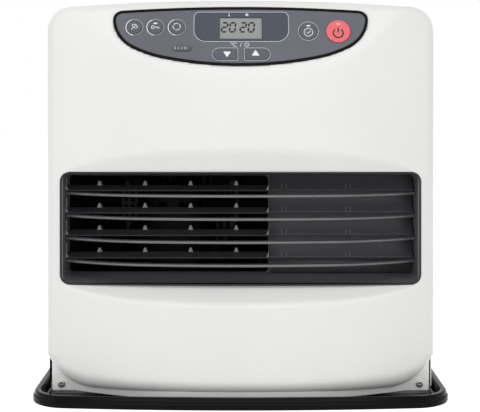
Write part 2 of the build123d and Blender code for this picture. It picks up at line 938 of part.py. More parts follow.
filter_left = guard_left + guard_rail_wall + filter_gap
filter_right = guard_right - guard_rail_wall - filter_gap
filter_foot = guard_foot + guard_rail_wall + seat_gap
filter_front = guard_face + guard_thickness + filter_gap
filter_back = filter_front + filter_thickness
filter_top = guard_top - guard_rail_wall
filter_middle = (filter_foot + filter_top) / 2
net_width = filter_right - filter_left - 2 * filter_border
net_height = filter_top - filter_foot - 2 * filter_border
net_pitch = (net_width + filter_net_strand) / filter_net_count
net_rise = (net_height + filter_net_strand) / filter_net_count
with BuildPart() as air_filter:
    block((filter_left, filter_right), (filter_front, filter_back), (filter_foot, filter_top))
    block(
        (filter_left + filter_border, filter_right - filter_border),
        (filter_front + filter_net_thickness, filter_back),
        (filter_foot + filter_border, filter_top - filter_border),
        Mode.SUBTRACT,
    )
    with BuildSketch(facing_back(fan_x, filter_middle).offset(filter_front - overrun)) as mesh:
        with GridLocations(net_pitch, net_rise, filter_net_count, filter_net_count):
            Rectangle(net_pitch - filter_net_strand, net_rise - filter_net_strand)
    extrude(mesh.sketch, amount=2 * overrun, mode=Mode.SUBTRACT)
    block(
        (fan_x - filter_tab_width / 2, fan_x + filter_tab_width / 2),
        (filter_front, filter_back),
        (filter_top, filter_top + filter_tab_height),
    )
keep(air_filter, "air_filter")

# Outlet: a black frame that narrows towards the window and the closed panel beside it

frame_half = outlet_width / 2 - frame_gap
frame_top = outlet_middle + outlet_height / 2 - frame_gap
frame_foot = outlet_middle - outlet_height / 2 + frame_gap
window_left = frame_sheet + frame_side_draw - frame_half
window_foot = frame_foot + frame_sheet + frame_foot_rise
window_top = frame_top - frame_sheet - frame_top_drop


def outlet_funnel(wall):
    """Funnel of the outlet frame between its face and the window, drawn inwards by wall."""
    back_wall = wall - frame_sheet
    with BuildPart() as funnel:
        with BuildSketch(Plane.XZ.offset(-outlet_y)):
            with Locations((0, (frame_top + frame_foot) / 2)):
                RectangleRounded(
                    2 * (frame_half - wall), frame_top - frame_foot - 2 * wall, outlet_corner_radius - wall
                )
        with BuildSketch(Plane.XZ.offset(-frame_back_y)):
            with Locations((0, (window_top + window_foot) / 2)):
                RectangleRounded(
                    -2 * (window_left + back_wall),
                    window_top - window_foot - 2 * back_wall,
                    window_corner_radius - back_wall,
                )
        loft(ruled=True)
    return funnel.part


outer_funnel = outlet_funnel(0)
inner_funnel = outlet_funnel(frame_sheet)
with BuildPart() as outlet_frame:
    add(outer_funnel)
    add(inner_funnel, mode=Mode.SUBTRACT)
    with BuildSketch(Plane.XZ.offset(-frame_back_y)) as back_plate:
        with Locations((0, (window_top + window_foot) / 2)):
            Rectangle(2 * frame_sheet - 2 * window_left, window_top - window_foot + 2 * frame_sheet)
        with Locations((window_left + window_width / 2, (window_top + window_foot) / 2)):
            RectangleRounded(
                window_width, window_top - window_foot, window_corner_radius, mode=Mode.SUBTRACT
            )
    extrude(back_plate.sketch, amount=-frame_sheet)
    closed_left = window_left + window_width + window_corner_radius
    for row in range(row_count):
        rib_z = bar_top - row * row_pitch - closed_rib_drop
        with BuildSketch(Plane.YZ.offset(closed_left)) as rib:
            with BuildLine():
                Polyline(
                    (frame_back_y + frame_sheet / 2, rib_z),
                    (frame_back_y - closed_rib_depth, rib_z),
                    (frame_back_y + frame_sheet / 2, rib_z + row_pitch - 2 * closed_rib_drop),
                    close=True,
                )
            make_face()
        extrude(rib.sketch, amount=-window_left - closed_left)
keep(outlet_frame, "outlet_frame")

for row in range(row_count):
    bar_z = bar_top - row * row_pitch
    with BuildPart() as louvre_bar:
        with BuildSketch(Plane.XY.offset(bar_z - bar_thickness / 2)) as band:
            with BuildLine():
                nose = (0, front_y + bar_setback)
                mid = JernArc(nose, (1, 0), bow_mid_radius - bar_setback, bow_mid_turn)
                side = JernArc(mid @ 1, mid % 1, bow_side_radius - bar_setback, bow_side_turn)
                back_radius = bow_side_radius - bar_setback - bar_depth
                back_mid = JernArc(
                    (0, front_y + bar_setback + bar_depth),
                    (1, 0),
                    bow_mid_radius - bar_setback - bar_depth,
                    bow_mid_turn,
                )
                back_side = JernArc(back_mid @ 1, back_mid % 1, back_radius, bow_side_turn)
                Line(side @ 1, back_side @ 1)
                mirror(about=Plane.YZ)
            make_face()
            Rectangle(2 * bar_half_length, cabinet_depth, mode=Mode.INTERSECT)
        extrude(band.sketch, amount=bar_thickness)
        nose_radii = (bow_mid_radius - bar_setback, bow_side_radius - bar_setback)
        nose_edges = louvre_bar.edges().filter_by(GeomType.CIRCLE).filter_by(
            lambda edge: min(abs(edge.radius - radius) for radius in nose_radii) < tolerance
        )
        fillet(nose_edges, bar_round)
    keep(louvre_bar, f"louvre_bar_{row + 1}")

slat_y = front_y + slat_front
for row in range(row_count):
    slat_z = bar_top - row * row_pitch + slat_rise_over_bar
    with BuildPart() as outlet_slat:
        with BuildSketch(Plane.YZ.offset(-slat_half_length)) as blade:
            with BuildLine():
                Polyline(
                    (slat_y, slat_z),
                    (slat_y + slat_depth, slat_z + slat_drop),
                    (slat_y + slat_depth, slat_z + slat_drop - slat_thickness),
                    (slat_y, slat_z - slat_thickness),
                    close=True,
                )
            make_face()
        extrude(blade.sketch, amount=2 * slat_half_length)
        for index in range(tab_count):
            tab_x = tab_first + index * tab_pitch
            with BuildSketch(Plane.XZ.offset(-slat_y - slat_depth)) as tab:
                with BuildLine():
                    foot = slat_z + slat_drop - slat_thickness
                    Polyline(
                        (tab_x - tab_width / 2, foot),
                        (tab_x + tab_width / 2, foot),
                        (tab_x, foot + slat_thickness + tab_height),
                        close=True,
                    )
                make_face()
            extrude(tab.sketch, amount=slat_thickness)
    keep(outlet_slat, f"outlet_slat_{row + 1}")

# Control panel: bezel in the front panel's opening, fascia inside it, buttons, display and board

bezel_inner = bezel_gap + bezel_wall
fascia_inset = bezel_inner + fascia_gap
ledge_inset = bezel_inner + bezel_ledge
fascia_back = fascia_proud - fascia_thickness
board_level = fascia_back - board_standoff
flange_level = fascia_back - button_flange_gap
button_back = flange_level - button_flange_thickness
stem_end = button_back - button_stem_length
display_x, display_v = display_place
lcd_x, lcd_v = lcd_place
display_level = fascia_proud - display_proud


def slope_prism(outline, low, high, mode=Mode.ADD):
    """Extrude an outline drawn on the leaning face between two levels above that face."""
    extrude(panel_plane.offset(low) * outline, amount=high - low, mode=mode)


def spot(x, v, radius):
    """Disc on the leaning face."""
    with BuildSketch() as disc:
        with Locations((x, v)):
            Circle(radius)
    return disc.sketch


def pill_outline(grow):
    """Outline of the small on and off button."""
    with BuildSketch() as pill:
        with Locations(pill_place):
            SlotOverall(pill_width + 2 * grow, pill_height + 2 * grow)
    return pill.sketch


def arrow_outline(direction, grow):
    """Outline of an arrow button: straight towards the middle, round towards its end."""
    middle_x, middle_v = arrow_place
    near = middle_x + direction * (arrow_gap_half - grow)
    shoulder = near + direction * (arrow_straight + grow)
    tip = near + direction * (arrow_length + 2 * grow)
    low = middle_v - arrow_height / 2 - grow
    high = middle_v + arrow_height / 2 + grow
    with BuildSketch() as arrow:
        with BuildLine():
            Polyline((shoulder, low), (near, low), (near, high), (shoulder, high))
            ThreePointArc((shoulder, high), (tip, middle_v), (shoulder, low))
        make_face()
    return arrow.sketch


def button_outline(name, grow):
    """Outline of a button on the leaning face, drawn outwards by grow."""
    if name in round_buttons:
        x, v, radius = round_buttons[name]
        return spot(x, v, radius + grow)
    if name == "on_off_button":
        return pill_outline(grow)
    return arrow_outline(-1 if name == "down_button" else 1, grow)


button_places = {name: place[:2] for name, place in round_buttons.items()}
button_places["on_off_button"] = pill_place
for name, direction in (("down_button", -1), ("up_button", 1)):
    reach = direction * (arrow_gap_half + arrow_length / 2)
    button_places[name] = (arrow_place[0] + reach, arrow_place[1])

with BuildPart() as control_bezel:
    lens(bezel_proud, bezel_gap, bezel_proud + bezel_depth)
    lens(bezel_proud, bezel_inner, bezel_proud - fascia_back, Mode.SUBTRACT)
    lens(fascia_back, ledge_inset, bezel_depth + fascia_back, Mode.SUBTRACT)
keep(control_bezel, "control_bezel")


def display_outline(grow):
    """Outline of the display window, with larger radii at its lower corners."""
    with BuildSketch() as window:
        with Locations((display_x, display_v)):
            Rectangle(display_width + 2 * grow, display_height + 2 * grow)
        fillet(window.vertices().group_by(Axis.Y)[-1], display_top_radius + grow)
        fillet(window.vertices().group_by(Axis.Y)[0], display_foot_radius + grow)
    return window.sketch


def lcd_outline(grow):
    """Outline of the glass of the display."""
    with BuildSketch() as glass:
        with Locations((lcd_x, lcd_v)):
            Rectangle(lcd_width + 2 * grow, lcd_height + 2 * grow)
    return glass.sketch


with BuildPart() as control_fascia:
    lens(fascia_proud, fascia_inset, fascia_thickness)
    over_fascia = fascia_proud + overrun
    for name in button_places:
        slope_prism(button_outline(name, button_gap), fascia_back - overrun, over_fascia, Mode.SUBTRACT)
    slope_prism(display_outline(fascia_gap), display_level - fascia_gap, over_fascia, Mode.SUBTRACT)
    slope_prism(lcd_outline(0), fascia_back - overrun, over_fascia, Mode.SUBTRACT)
    for x, v in standoff_places:
        slope_prism(spot(x, v, standoff_radius), board_level, fascia_back + fascia_thickness / 2)
keep(control_fascia, "control_fascia")

with BuildPart() as display_window:
    slope_prism(display_outline(0), display_level, fascia_proud + display_proud)
    slope_prism(lcd_outline(0), display_level - overrun, fascia_proud + overrun, Mode.SUBTRACT)
keep(display_window, "display_window")

with BuildPart() as display_module:
    slope_prism(lcd_outline(-lcd_gap), fascia_back - lcd_gap - lcd_sink, fascia_proud - lcd_sink)
    slope_prism(lcd_outline(lcd_back_margin), board_level, fascia_back - lcd_gap)
keep(display_module, "display_module")

with BuildPart() as control_board:
    lens(board_level, board_inset, board_thickness)
    for x, v in button_places.values():
        switch_top = stem_end - button_travel - switch_gap
        slope_prism(spot(x, v, switch_radius), board_level - board_thickness / 2, switch_top)
keep(control_board, "control_board")

for name, (x, v) in button_places.items():
    with BuildPart() as button:
        slope_prism(button_outline(name, 0), button_back, fascia_proud + button_proud)
        fillet(button.faces().sort_by(panel_axis)[-1].edges(), button_edge_round)
        slope_prism(button_outline(name, button_flange), button_back, flange_level)
        slope_prism(spot(x, v, button_stem_radius), stem_end, button_back + button_flange_thickness / 2)
    keep(button, name)

# Burner: pot on legs, flame ring inside, heat cylinder on the duct's floor, igniter

burner_x, burner_y = burner_place
burner_line = upright(burner_x, burner_y)
pot_top = duct_foot - seat_gap
spout_z = blower_place[1]
with BuildPart() as burner_pot:
    drum(burner_line, pot_radius, pot_foot, pot_top)
    drum(burner_line, pot_radius - pot_wall, pot_foot + pot_wall, pot_top + overrun, Mode.SUBTRACT)
    with BuildSketch(burner_line.offset(base_top)) as legs:
        with PolarLocations(pot_leg_place_radius, pot_leg_count):
            Circle(pot_leg_radius)
    extrude(legs.sketch, amount=pot_foot - base_top + pot_wall / 2)
    with BuildSketch(facing_right(burner_y, spout_z).offset(burner_x - pot_radius - overrun)) as inlet:
        Rectangle(2 * blower_spout_half, 2 * blower_spout_half)
    extrude(inlet.sketch, amount=pot_radius / 2, mode=Mode.SUBTRACT)
keep(burner_pot, "burner_pot")

ring_foot = pot_top - flame_ring_height
with BuildPart() as flame_ring:
    drum(burner_line, flame_ring_radius, ring_foot, pot_top + flame_ring_height)
    drum(
        burner_line,
        flame_ring_radius - pot_wall,
        ring_foot - overrun,
        pot_top + flame_ring_height - pot_wall,
        Mode.SUBTRACT,
    )
    drum(burner_line, pot_radius - pot_wall - shaft_clearance, ring_foot, ring_foot + pot_wall)
    ring_bore = flame_ring_radius - pot_wall
    drum(burner_line, ring_bore, ring_foot - overrun, ring_foot + overrun, Mode.SUBTRACT)
    for level_share in flame_port_level_shares:
        port_z = pot_top + flame_ring_height * level_share
        for index in range(flame_ring_ports):
            turn = radians(index * 360 / flame_ring_ports)
            spoke = Plane(
                origin=(burner_x, burner_y, port_z), x_dir=(0, 0, 1), z_dir=(cos(turn), sin(turn), 0)
            )
            drum(spoke, flame_port_radius, ring_bore / 2, flame_ring_radius + overrun, Mode.SUBTRACT)
keep(flame_ring, "flame_ring")

cylinder_foot = duct_foot + duct_sheet + seat_gap
cylinder_top = cylinder_foot + cylinder_height
igniter_z = pot_top + flame_ring_height + 2 * igniter_radius
with BuildPart() as combustion_cylinder:
    drum(burner_line, cylinder_radius, cylinder_foot, cylinder_top)
    drum(
        burner_line,
        cylinder_radius - cylinder_wall,
        cylinder_foot - overrun,
        cylinder_top - cylinder_wall,
        Mode.SUBTRACT,
    )
    port_z = cylinder_top - 3 * cylinder_port_radius
    for index in range(cylinder_ports):
        turn = radians((index + 0.5) * 360 / cylinder_ports)
        spoke = Plane(
            origin=(burner_x, burner_y, port_z), x_dir=(0, 0, 1), z_dir=(cos(turn), sin(turn), 0)
        )
        drum(spoke, cylinder_port_radius, cylinder_radius / 2, cylinder_radius + overrun, Mode.SUBTRACT)
    drum(
        facing_back(burner_x, igniter_z),
        igniter_radius + shaft_clearance,
        burner_y,
        burner_y + cylinder_radius + overrun,
        Mode.SUBTRACT,
    )
keep(combustion_cylinder, "combustion_cylinder")

with BuildPart() as igniter_plug:
    igniter_line = facing_back(burner_x, igniter_z)
    igniter_start = burner_y + cylinder_radius - igniter_length / 2
    drum(igniter_line, igniter_radius, igniter_start, igniter_start + igniter_length)
    drum(
        igniter_line,
        2 * igniter_radius,
        burner_y + cylinder_radius + shaft_clearance,
        burner_y + cylinder_radius + 2 * igniter_radius,
    )
keep(igniter_plug, "igniter_plug")

duct_front = frame_back_y + frame_sheet + duct_front_gap
with BuildPart() as heat_duct:
    block((duct_left, duct_right), (duct_front, duct_back), (duct_foot, duct_top))
    block(
        (duct_left + duct_sheet, duct_right - duct_sheet),
        (duct_front - overrun, duct_back + overrun),
        (duct_foot + duct_sheet, duct_top - duct_sheet),
        Mode.SUBTRACT,
    )
    drum(burner_line, pot_radius, duct_foot - overrun, duct_foot + duct_sheet + overrun, Mode.SUBTRACT)
keep(heat_duct, "heat_duct")

# Combustion air blower: scroll housing with a spout to the pot, impeller on a motor shaft

blower_x, blower_z = blower_place
blower_line = facing_back(blower_x, blower_z)
blower_back = blower_front + blower_depth
with BuildPart() as blower_housing:
    drum(blower_line, blower_radius, blower_front, blower_back)
    block(
        (blower_x, burner_x - pot_radius - seat_gap),
        (burner_y - blower_spout_half, burner_y + blower_spout_half),
        (blower_z - blower_spout_half, blower_z + blower_spout_half),
    )
    block(
        (blower_x - blower_foot_width / 2, blower_x + blower_foot_width / 2),
        (blower_front, blower_back),
        (base_top, blower_z - blower_radius / 2),
    )
    drum(
        blower_line,
        blower_radius - blower_wall,
        blower_front + blower_wall,
        blower_back - blower_wall,
        Mode.SUBTRACT,
    )
    block(
        (blower_x, burner_x),
        (burner_y - blower_spout_half + blower_wall, burner_y + blower_spout_half - blower_wall),
        (blower_z - blower_spout_half + blower_wall, blower_z + blower_spout_half - blower_wall),
        Mode.SUBTRACT,
    )
    for opening_radius, middle in ((blower_inlet_radius, blower_front), (2 * shaft_radius, blower_back)):
        drum(blower_line, opening_radius, middle - 2 * overrun, middle + 2 * overrun, Mode.SUBTRACT)
keep(blower_housing, "blower_housing")

with BuildPart() as blower_impeller:
    wheel_front = blower_front + blower_wall + impeller_side_gap
    wheel_back = blower_back - blower_wall - impeller_side_gap
    drum(blower_line, impeller_radius, wheel_back - 2 * impeller_blade_thickness, wheel_back)
    drum(blower_line, impeller_hub_radius, wheel_front, wheel_back)
    with BuildSketch(blower_line.offset(wheel_front)) as blades:
        with PolarLocations((impeller_radius + impeller_hub_radius) / 2, impeller_blades):
            Rectangle(
                impeller_radius - impeller_hub_radius,
                impeller_blade_thickness,
                rotation=impeller_blade_turn,
            )
    extrude(blades.sketch, amount=wheel_back - wheel_front)
    drum(blower_line, shaft_radius, wheel_back, blower_back + blower_motor_length * shaft_reach_share)
keep(blower_impeller, "blower_impeller")

with BuildPart() as blower_motor:
    drum(blower_line, blower_motor_radius, blower_back + seat_gap, blower_back + blower_motor_length)
    fillet(blower_motor.faces().sort_by(Axis.Y)[-1].edges(), 2 * shaft_radius)
    drum(
        blower_line,
        shaft_radius + shaft_clearance,
        blower_back - overrun,
        blower_back + blower_motor_length * shaft_bore_share,
        Mode.SUBTRACT,
    )
keep(blower_motor, "blower_motor")

# Convection fan: five pitched blades in a ring that also carries the motor

fan_line = facing_back(fan_x, fan_z)
fan_back = fan_front + fan_depth
motor_front = fan_front - fan_arm_thickness - fan_motor_length
with BuildPart() as convection_fan:
    drum(fan_line, fan_hub_radius, fan_front, fan_back)
    for index in range(fan_blades):
        turn = radians(index * 360 / fan_blades)
        spoke = Plane(
            origin=(fan_x, (fan_front + fan_back) / 2, fan_z),
            x_dir=(-sin(turn), 0, cos(turn)),
            z_dir=(cos(turn), 0, sin(turn)),
        )
        with BuildSketch(spoke.offset(fan_hub_radius / 2)) as blade:
            Rectangle(fan_blade_width, fan_blade_thickness, rotation=fan_blade_pitch)
        extrude(blade.sketch, amount=fan_radius - fan_hub_radius / 2)
    with BuildSketch(fan_line.offset(fan_front)) as sweep_disc:
        Circle(fan_radius)
    extrude(sweep_disc.sketch, amount=fan_depth, mode=Mode.INTERSECT)
    shaft_end = motor_front + fan_motor_length * (1 - shaft_reach_share)
    drum(fan_line, shaft_radius, shaft_end, fan_front + overrun)
keep(convection_fan, "convection_fan")

with BuildPart() as fan_motor:
    drum(fan_line, fan_motor_radius, motor_front, motor_front + fan_motor_length)
    fillet(fan_motor.faces().sort_by(Axis.Y)[0].edges(), 2 * shaft_radius)
    drum(
        fan_line,
        shaft_radius + shaft_clearance,
        motor_front + fan_motor_length * (1 - shaft_bore_share),
        fan_front,
        Mode.SUBTRACT,
    )
keep(fan_motor, "fan_motor")

arm_front = motor_front + fan_motor_length
with BuildPart() as fan_bracket:
    drum(fan_line, fan_ring_radius + fan_ring_wall, arm_front, plate_front_y - seat_gap)
    drum(fan_line, fan_ring_radius, arm_front - overrun, plate_front_y, Mode.SUBTRACT)
    with BuildSketch(fan_line.offset(arm_front)) as arms:
        for turn in fan_arm_turns:
            with Locations(Rotation(0, 0, turn)):
                with Locations((fan_ring_radius / 2, 0)):
                    Rectangle(fan_ring_radius + fan_ring_wall, fan_arm_width)
        Circle(fan_motor_radius)
        Circle(2 * shaft_radius, mode=Mode.SUBTRACT)
    extrude(arms.sketch, amount=fan_arm_thickness / 2)
keep(fan_bracket, "fan_bracket")

# Partition between the burner and the tank, with a hole for the fuel pipe

pump_x, pump_y = pump_place
with BuildPart() as partition_plate:
    block(
        (partition_place, partition_place + sheet),
        (frame_back_y + 2 * overrun, plate_front_y - seat_gap),
        (base_top, seam_z - top_crown),
    )
    drum(
        facing_right(pump_y, pipe_level),
        pipe_hole_radius,
        partition_place - overrun,
        partition_place + overrun,
        Mode.SUBTRACT,
    )
keep(partition_plate, "partition_plate")

# Fuel tank, hollow, neck down, with its cap and grip; the collar on the sump below takes the cap

tank_x = tank_left + tank_width / 2
tank_y = tank_front + tank_depth / 2
tank_line = upright(tank_x, tank_y)
with BuildPart() as fuel_tank:
    with BuildSketch(tank_line.offset(tank_foot)) as can:
        RectangleRounded(tank_width, tank_depth, tank_edge_radius)
    extrude(can.sketch, amount=tank_height)
    fillet(fuel_tank.edges().group_by(Axis.Z)[-1], tank_edge_radius / 2)
    with BuildSketch(tank_line.offset(tank_foot + tank_sheet)) as inside:
        RectangleRounded(
            tank_width - 2 * tank_sheet, tank_depth - 2 * tank_sheet, tank_edge_radius - tank_sheet
        )
    extrude(inside.sketch, amount=tank_height - tank_edge_radius / 2 - tank_sheet, mode=Mode.SUBTRACT)
    drum(tank_line, neck_radius, tank_foot - neck_length, tank_foot + tank_sheet)
    drum(
        tank_line,
        neck_radius - cap_wall,
        tank_foot - neck_length - overrun,
        tank_foot + 2 * tank_sheet,
        Mode.SUBTRACT,
    )
keep(fuel_tank, "fuel_tank")

cap_top = tank_foot - seat_gap
with BuildPart() as tank_cap:
    drum(tank_line, cap_radius, cap_top - cap_height, cap_top)
    with BuildSketch(tank_line.offset(cap_top - cap_height)) as grips:
        with PolarLocations(cap_radius, cap_grips):
            Circle(cap_grip_radius)
    extrude(grips.sketch, amount=cap_height / 2, mode=Mode.SUBTRACT)
    cap_floor = tank_foot - neck_length - seat_gap
    drum(tank_line, neck_radius + cap_gap, cap_floor, cap_top + overrun, Mode.SUBTRACT)
keep(tank_cap, "tank_cap")

tank_top = tank_foot + tank_height
with BuildPart() as tank_handle:
    for end in (-1, 1):
        post_y = tank_y + end * (handle_length - handle_post) / 2
        block(
            (tank_x - handle_width / 2, tank_x + handle_width / 2),
            (post_y - handle_post / 2, post_y + handle_post / 2),
            (tank_top, tank_top + handle_rise),
        )
    block(
        (tank_x - handle_width / 2, tank_x + handle_width / 2),
        (tank_y - handle_length / 2, tank_y + handle_length / 2),
        (tank_top + handle_rise - handle_bar, tank_top + handle_rise),
    )
    fillet(tank_handle.edges().filter_by(Axis.Y).group_by(Axis.Z)[-1], handle_round)
keep(tank_handle, "tank_handle")

sump_left = tank_left - sump_margin
sump_right = tank_left + tank_width + sump_margin
sump_front = tank_front - sump_front_margin
sump_back = tank_front + tank_depth
sump_top = base_top + sump_height
with BuildPart() as fuel_sump:
    block((sump_left, sump_right), (sump_front, sump_back), (base_top, sump_top))
    block(
        (sump_left + sump_wall, sump_right - sump_wall),
        (sump_front + sump_wall, sump_back - sump_wall),
        (base_top + sump_wall, sump_top - sump_wall),
        Mode.SUBTRACT,
    )
    drum(tank_line, sump_well_radius, sump_top - 2 * sump_wall, sump_top + overrun, Mode.SUBTRACT)
keep(fuel_sump, "fuel_sump")

with BuildPart() as sump_collar:
    drum(tank_line, sump_well_radius + sump_collar_wall, sump_top, tank_foot - seat_gap)
    drum(tank_line, sump_well_radius, sump_top - overrun, tank_foot + overrun, Mode.SUBTRACT)
keep(sump_collar, "sump_collar")

with BuildPart() as fuel_pump:
    pump_line = upright(pump_x, pump_y)
    drum(pump_line, pump_radius, sump_top, sump_top + pump_height)
    fillet(fuel_pump.faces().sort_by(Axis.Z)[-1].edges(), pipe_radius)
    drum(pump_line, pump_radius + pipe_radius, sump_top, sump_top + pump_flange_height)
keep(fuel_pump, "fuel_pump")

pump_top = sump_top + pump_height
pipe_end = (burner_x + pot_radius + seat_gap, burner_y, pipe_level - pipe_end_drop)
with BuildPart() as fuel_pipe:
    with BuildLine() as route:
        FilletPolyline(
            (pump_x, pump_y, pump_top + seat_gap),
            (pump_x, pump_y, pipe_level),
            (pipe_turn, pump_y, pipe_level),
            (pipe_turn, burner_y, pipe_level),
            (pipe_turn, burner_y, pipe_end[2]),
            pipe_end,
            radius=pipe_bend,
        )
    with BuildSketch(Plane(origin=route.line @ 0, z_dir=route.line % 0)) as bore:
        Circle(pipe_radius)
    sweep(bore.sketch, path=route.line)
keep(fuel_pipe, "fuel_pipe")

# Electronics on the partition and the base

board_x = partition_place - seat_gap - main_board_standoff - board_thickness
with BuildPart() as main_board:
    board_y = (main_board_front, main_board_front + main_board_length)
    board_z = (main_board_foot, main_board_foot + main_board_height)
    block((board_x, board_x + board_thickness), board_y, board_z)
    for y in board_y:
        for z in board_z:
            inset_y = y + (standoff_radius * 2 if y == board_y[0] else -standoff_radius * 2)
            inset_z = z + (standoff_radius * 2 if z == board_z[0] else -standoff_radius * 2)
            drum(facing_right(inset_y, inset_z), standoff_radius, board_x, partition_place - seat_gap)
    depth, width, height = relay_sides
    for y, rise in relay_places:
        z = main_board_foot + rise
        block((board_x - depth, board_x), (y - width / 2, y + width / 2), (z - height / 2, z + height / 2))
    for y, rise in capacitor_places:
        drum(facing_right(y, main_board_foot + rise), capacitor_radius, board_x - capacitor_length, board_x)
keep(main_board, "main_board")

transformer_x, transformer_y = transformer_place
core_x, core_y, core_z = transformer_core
with BuildPart() as transformer:
    block(
        (transformer_x - core_x / 2, transformer_x + core_x / 2),
        (transformer_y - core_y / 2, transformer_y + core_y / 2),
        (base_top, base_top + core_z),
    )
    block(
        (transformer_x - transformer_coil_half, transformer_x + transformer_coil_half),
        (
            transformer_y - core_y / 2 - transformer_coil_swell,
            transformer_y + core_y / 2 + transformer_coil_swell,
        ),
        (
            base_top + (core_z - transformer_coil_height) / 2,
            base_top + (core_z + transformer_coil_height) / 2,
        ),
    )
    fillet(transformer.edges().filter_by(Axis.X).group_by(Axis.Y)[0], transformer_coil_swell / 2)
    fillet(transformer.edges().filter_by(Axis.X).group_by(Axis.Y)[-1], transformer_coil_swell / 2)
keep(transformer, "transformer")

tip_x, tip_y = tip_switch_place
tip_top = base_top + tip_switch_height
pin_z = tip_top - tip_switch_wall - 2 * pendulum_pin_radius
with BuildPart() as tip_switch:
    half = tip_switch_side / 2
    block((tip_x - half, tip_x + half), (tip_y - half, tip_y + half), (base_top, tip_top))
    block(
        (tip_x - half + tip_switch_wall, tip_x + half - tip_switch_wall),
        (tip_y - half - overrun, tip_y + half - tip_switch_wall),
        (base_top + tip_switch_wall, tip_top - tip_switch_wall),
        Mode.SUBTRACT,
    )
    drum(
        facing_right(tip_y, pin_z),
        pendulum_pin_radius + shaft_clearance,
        tip_x - half - overrun,
        tip_x + half + overrun,
        Mode.SUBTRACT,
    )
keep(tip_switch, "tip_switch")

with BuildPart() as tip_pendulum:
    drum(facing_right(tip_y, pin_z), pendulum_pin_radius, tip_x - half, tip_x + half)
    pendulum_line = upright(tip_x, tip_y)
    bob_z = pin_z - pendulum_length
    drum(pendulum_line, pendulum_rod_radius, bob_z, pin_z)
    bob_half = pendulum_bob_height / 2
    drum(pendulum_line, pendulum_bob_radius, bob_z - bob_half, bob_z + bob_half)
keep(tip_pendulum, "tip_pendulum")
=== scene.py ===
import json
from math import pi

import bmesh
import bpy
import numpy as np
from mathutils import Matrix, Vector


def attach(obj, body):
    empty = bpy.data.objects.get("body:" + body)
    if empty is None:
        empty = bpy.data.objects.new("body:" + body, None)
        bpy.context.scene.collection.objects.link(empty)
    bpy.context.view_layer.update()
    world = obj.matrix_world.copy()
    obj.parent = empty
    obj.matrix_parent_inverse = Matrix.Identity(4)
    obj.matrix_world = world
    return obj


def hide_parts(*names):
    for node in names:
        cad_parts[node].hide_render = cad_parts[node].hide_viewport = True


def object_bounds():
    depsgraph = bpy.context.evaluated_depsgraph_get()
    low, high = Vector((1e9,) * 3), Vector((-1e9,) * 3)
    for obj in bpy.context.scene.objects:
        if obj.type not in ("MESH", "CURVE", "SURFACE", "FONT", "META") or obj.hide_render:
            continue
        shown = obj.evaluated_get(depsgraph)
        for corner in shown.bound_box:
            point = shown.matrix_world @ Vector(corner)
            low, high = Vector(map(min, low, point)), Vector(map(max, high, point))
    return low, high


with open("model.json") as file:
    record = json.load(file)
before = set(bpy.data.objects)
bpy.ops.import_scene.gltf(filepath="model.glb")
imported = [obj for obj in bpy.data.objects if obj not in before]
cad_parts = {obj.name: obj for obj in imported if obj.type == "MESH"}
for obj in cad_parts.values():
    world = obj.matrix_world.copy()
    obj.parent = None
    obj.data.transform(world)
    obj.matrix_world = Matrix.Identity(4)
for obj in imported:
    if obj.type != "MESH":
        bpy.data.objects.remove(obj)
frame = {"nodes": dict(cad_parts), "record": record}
cad_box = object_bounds()
nodes = frame["nodes"]

MM = 0.001

# Overall size in millimetres, from the frame: the drip tray gives the width and depth, the front the height
TRAY_HALF_WIDTH, TRAY_HALF_DEPTH, TOP_Z = (round(far / MM, 1) for far in cad_box[1])

# Front panel in millimetres: seen from the front, then its bow in plan, then its leaning upper part
HALF_WIDTH, CORNER_RADIUS, CROWN = 216.0, 26.0, 9.5
FOOT_Z, SWEEP_START, SWEEP_RADIUS = 11.8, 163.0, 60.0
FRONT_Y, SEAM_Y, SHEET = -150.0, -83.0, 1.2
BOW_MID_RADIUS, BOW_MID_HALF, BOW_SIDE_RADIUS = 900.0, 100.0, 240.0
LEAN_ANGLE, LEAN_HEIGHT = np.radians(21.0), 355.0

# Rounding of its edge: at the sides, at the middle of the foot and near the foot's ends
SIDE_ROUNDING, FOOT_ROUNDING, FOOT_END_ROUNDING = 10.0, 17.0, 20.0

# Outlet: its lip, its opening, and the heights of its four bars, from the top one down
OUTLET_Y, OUTLET_Z, LIP_BOW = -112.0, 187.3, 8.0
OUTLET_HALF, OUTLET_HALF_HEIGHT, OUTLET_RADIUS = 198.8, 62.1, 11.0
BAR_HEIGHTS = [224.4 - 25.05 * row for row in range(4)]

# Recess round the outlet: the chamfer's angle in degrees and the rounding where it meets the face, each at the
# sides and how much more above (the rounding also below); the share of the depth taken by the steep wall
CHAMFER, CHAMFER_MORE_ABOVE = 28.0, 12.0
SOFT_RIM, SOFT_RIM_MORE = 1.0, 3.0
WALL_SHARE, WALL_MORE_ABOVE, WALL_LESS_BELOW = 0.4, 0.25, 0.1

# Control panel on the leaning part: half its outline as arcs, with their radii and the degrees each one turns
LENS_FOOT, LENS_RADII, LENS_TURNS = 10.5, (400.0, 130.0, 41.0, 11.0), (12.0, 16.0, 56.0, 92.0)

# Points on the lower edge, right side, top and left side of every loop of the front panel
SIDE_COUNTS = (110, 90, 120, 90)


def piece(name, points, faces, material, body="cabinet", smooth=True):
    """One object at the origin from points in millimetres and faces of indices, on a body."""
    mesh = bpy.data.meshes.new(name)
    mesh.from_pydata((np.asarray(points, float) * MM).tolist(), [], [list(map(int, face)) for face in faces])
    mesh.polygons.foreach_set("use_smooth", [smooth] * len(mesh.polygons))
    mesh.materials.append(material)
    mesh.update()
    thing = bpy.data.objects.new(name, mesh)
    bpy.context.scene.collection.objects.link(thing)
    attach(thing, body)
    return thing


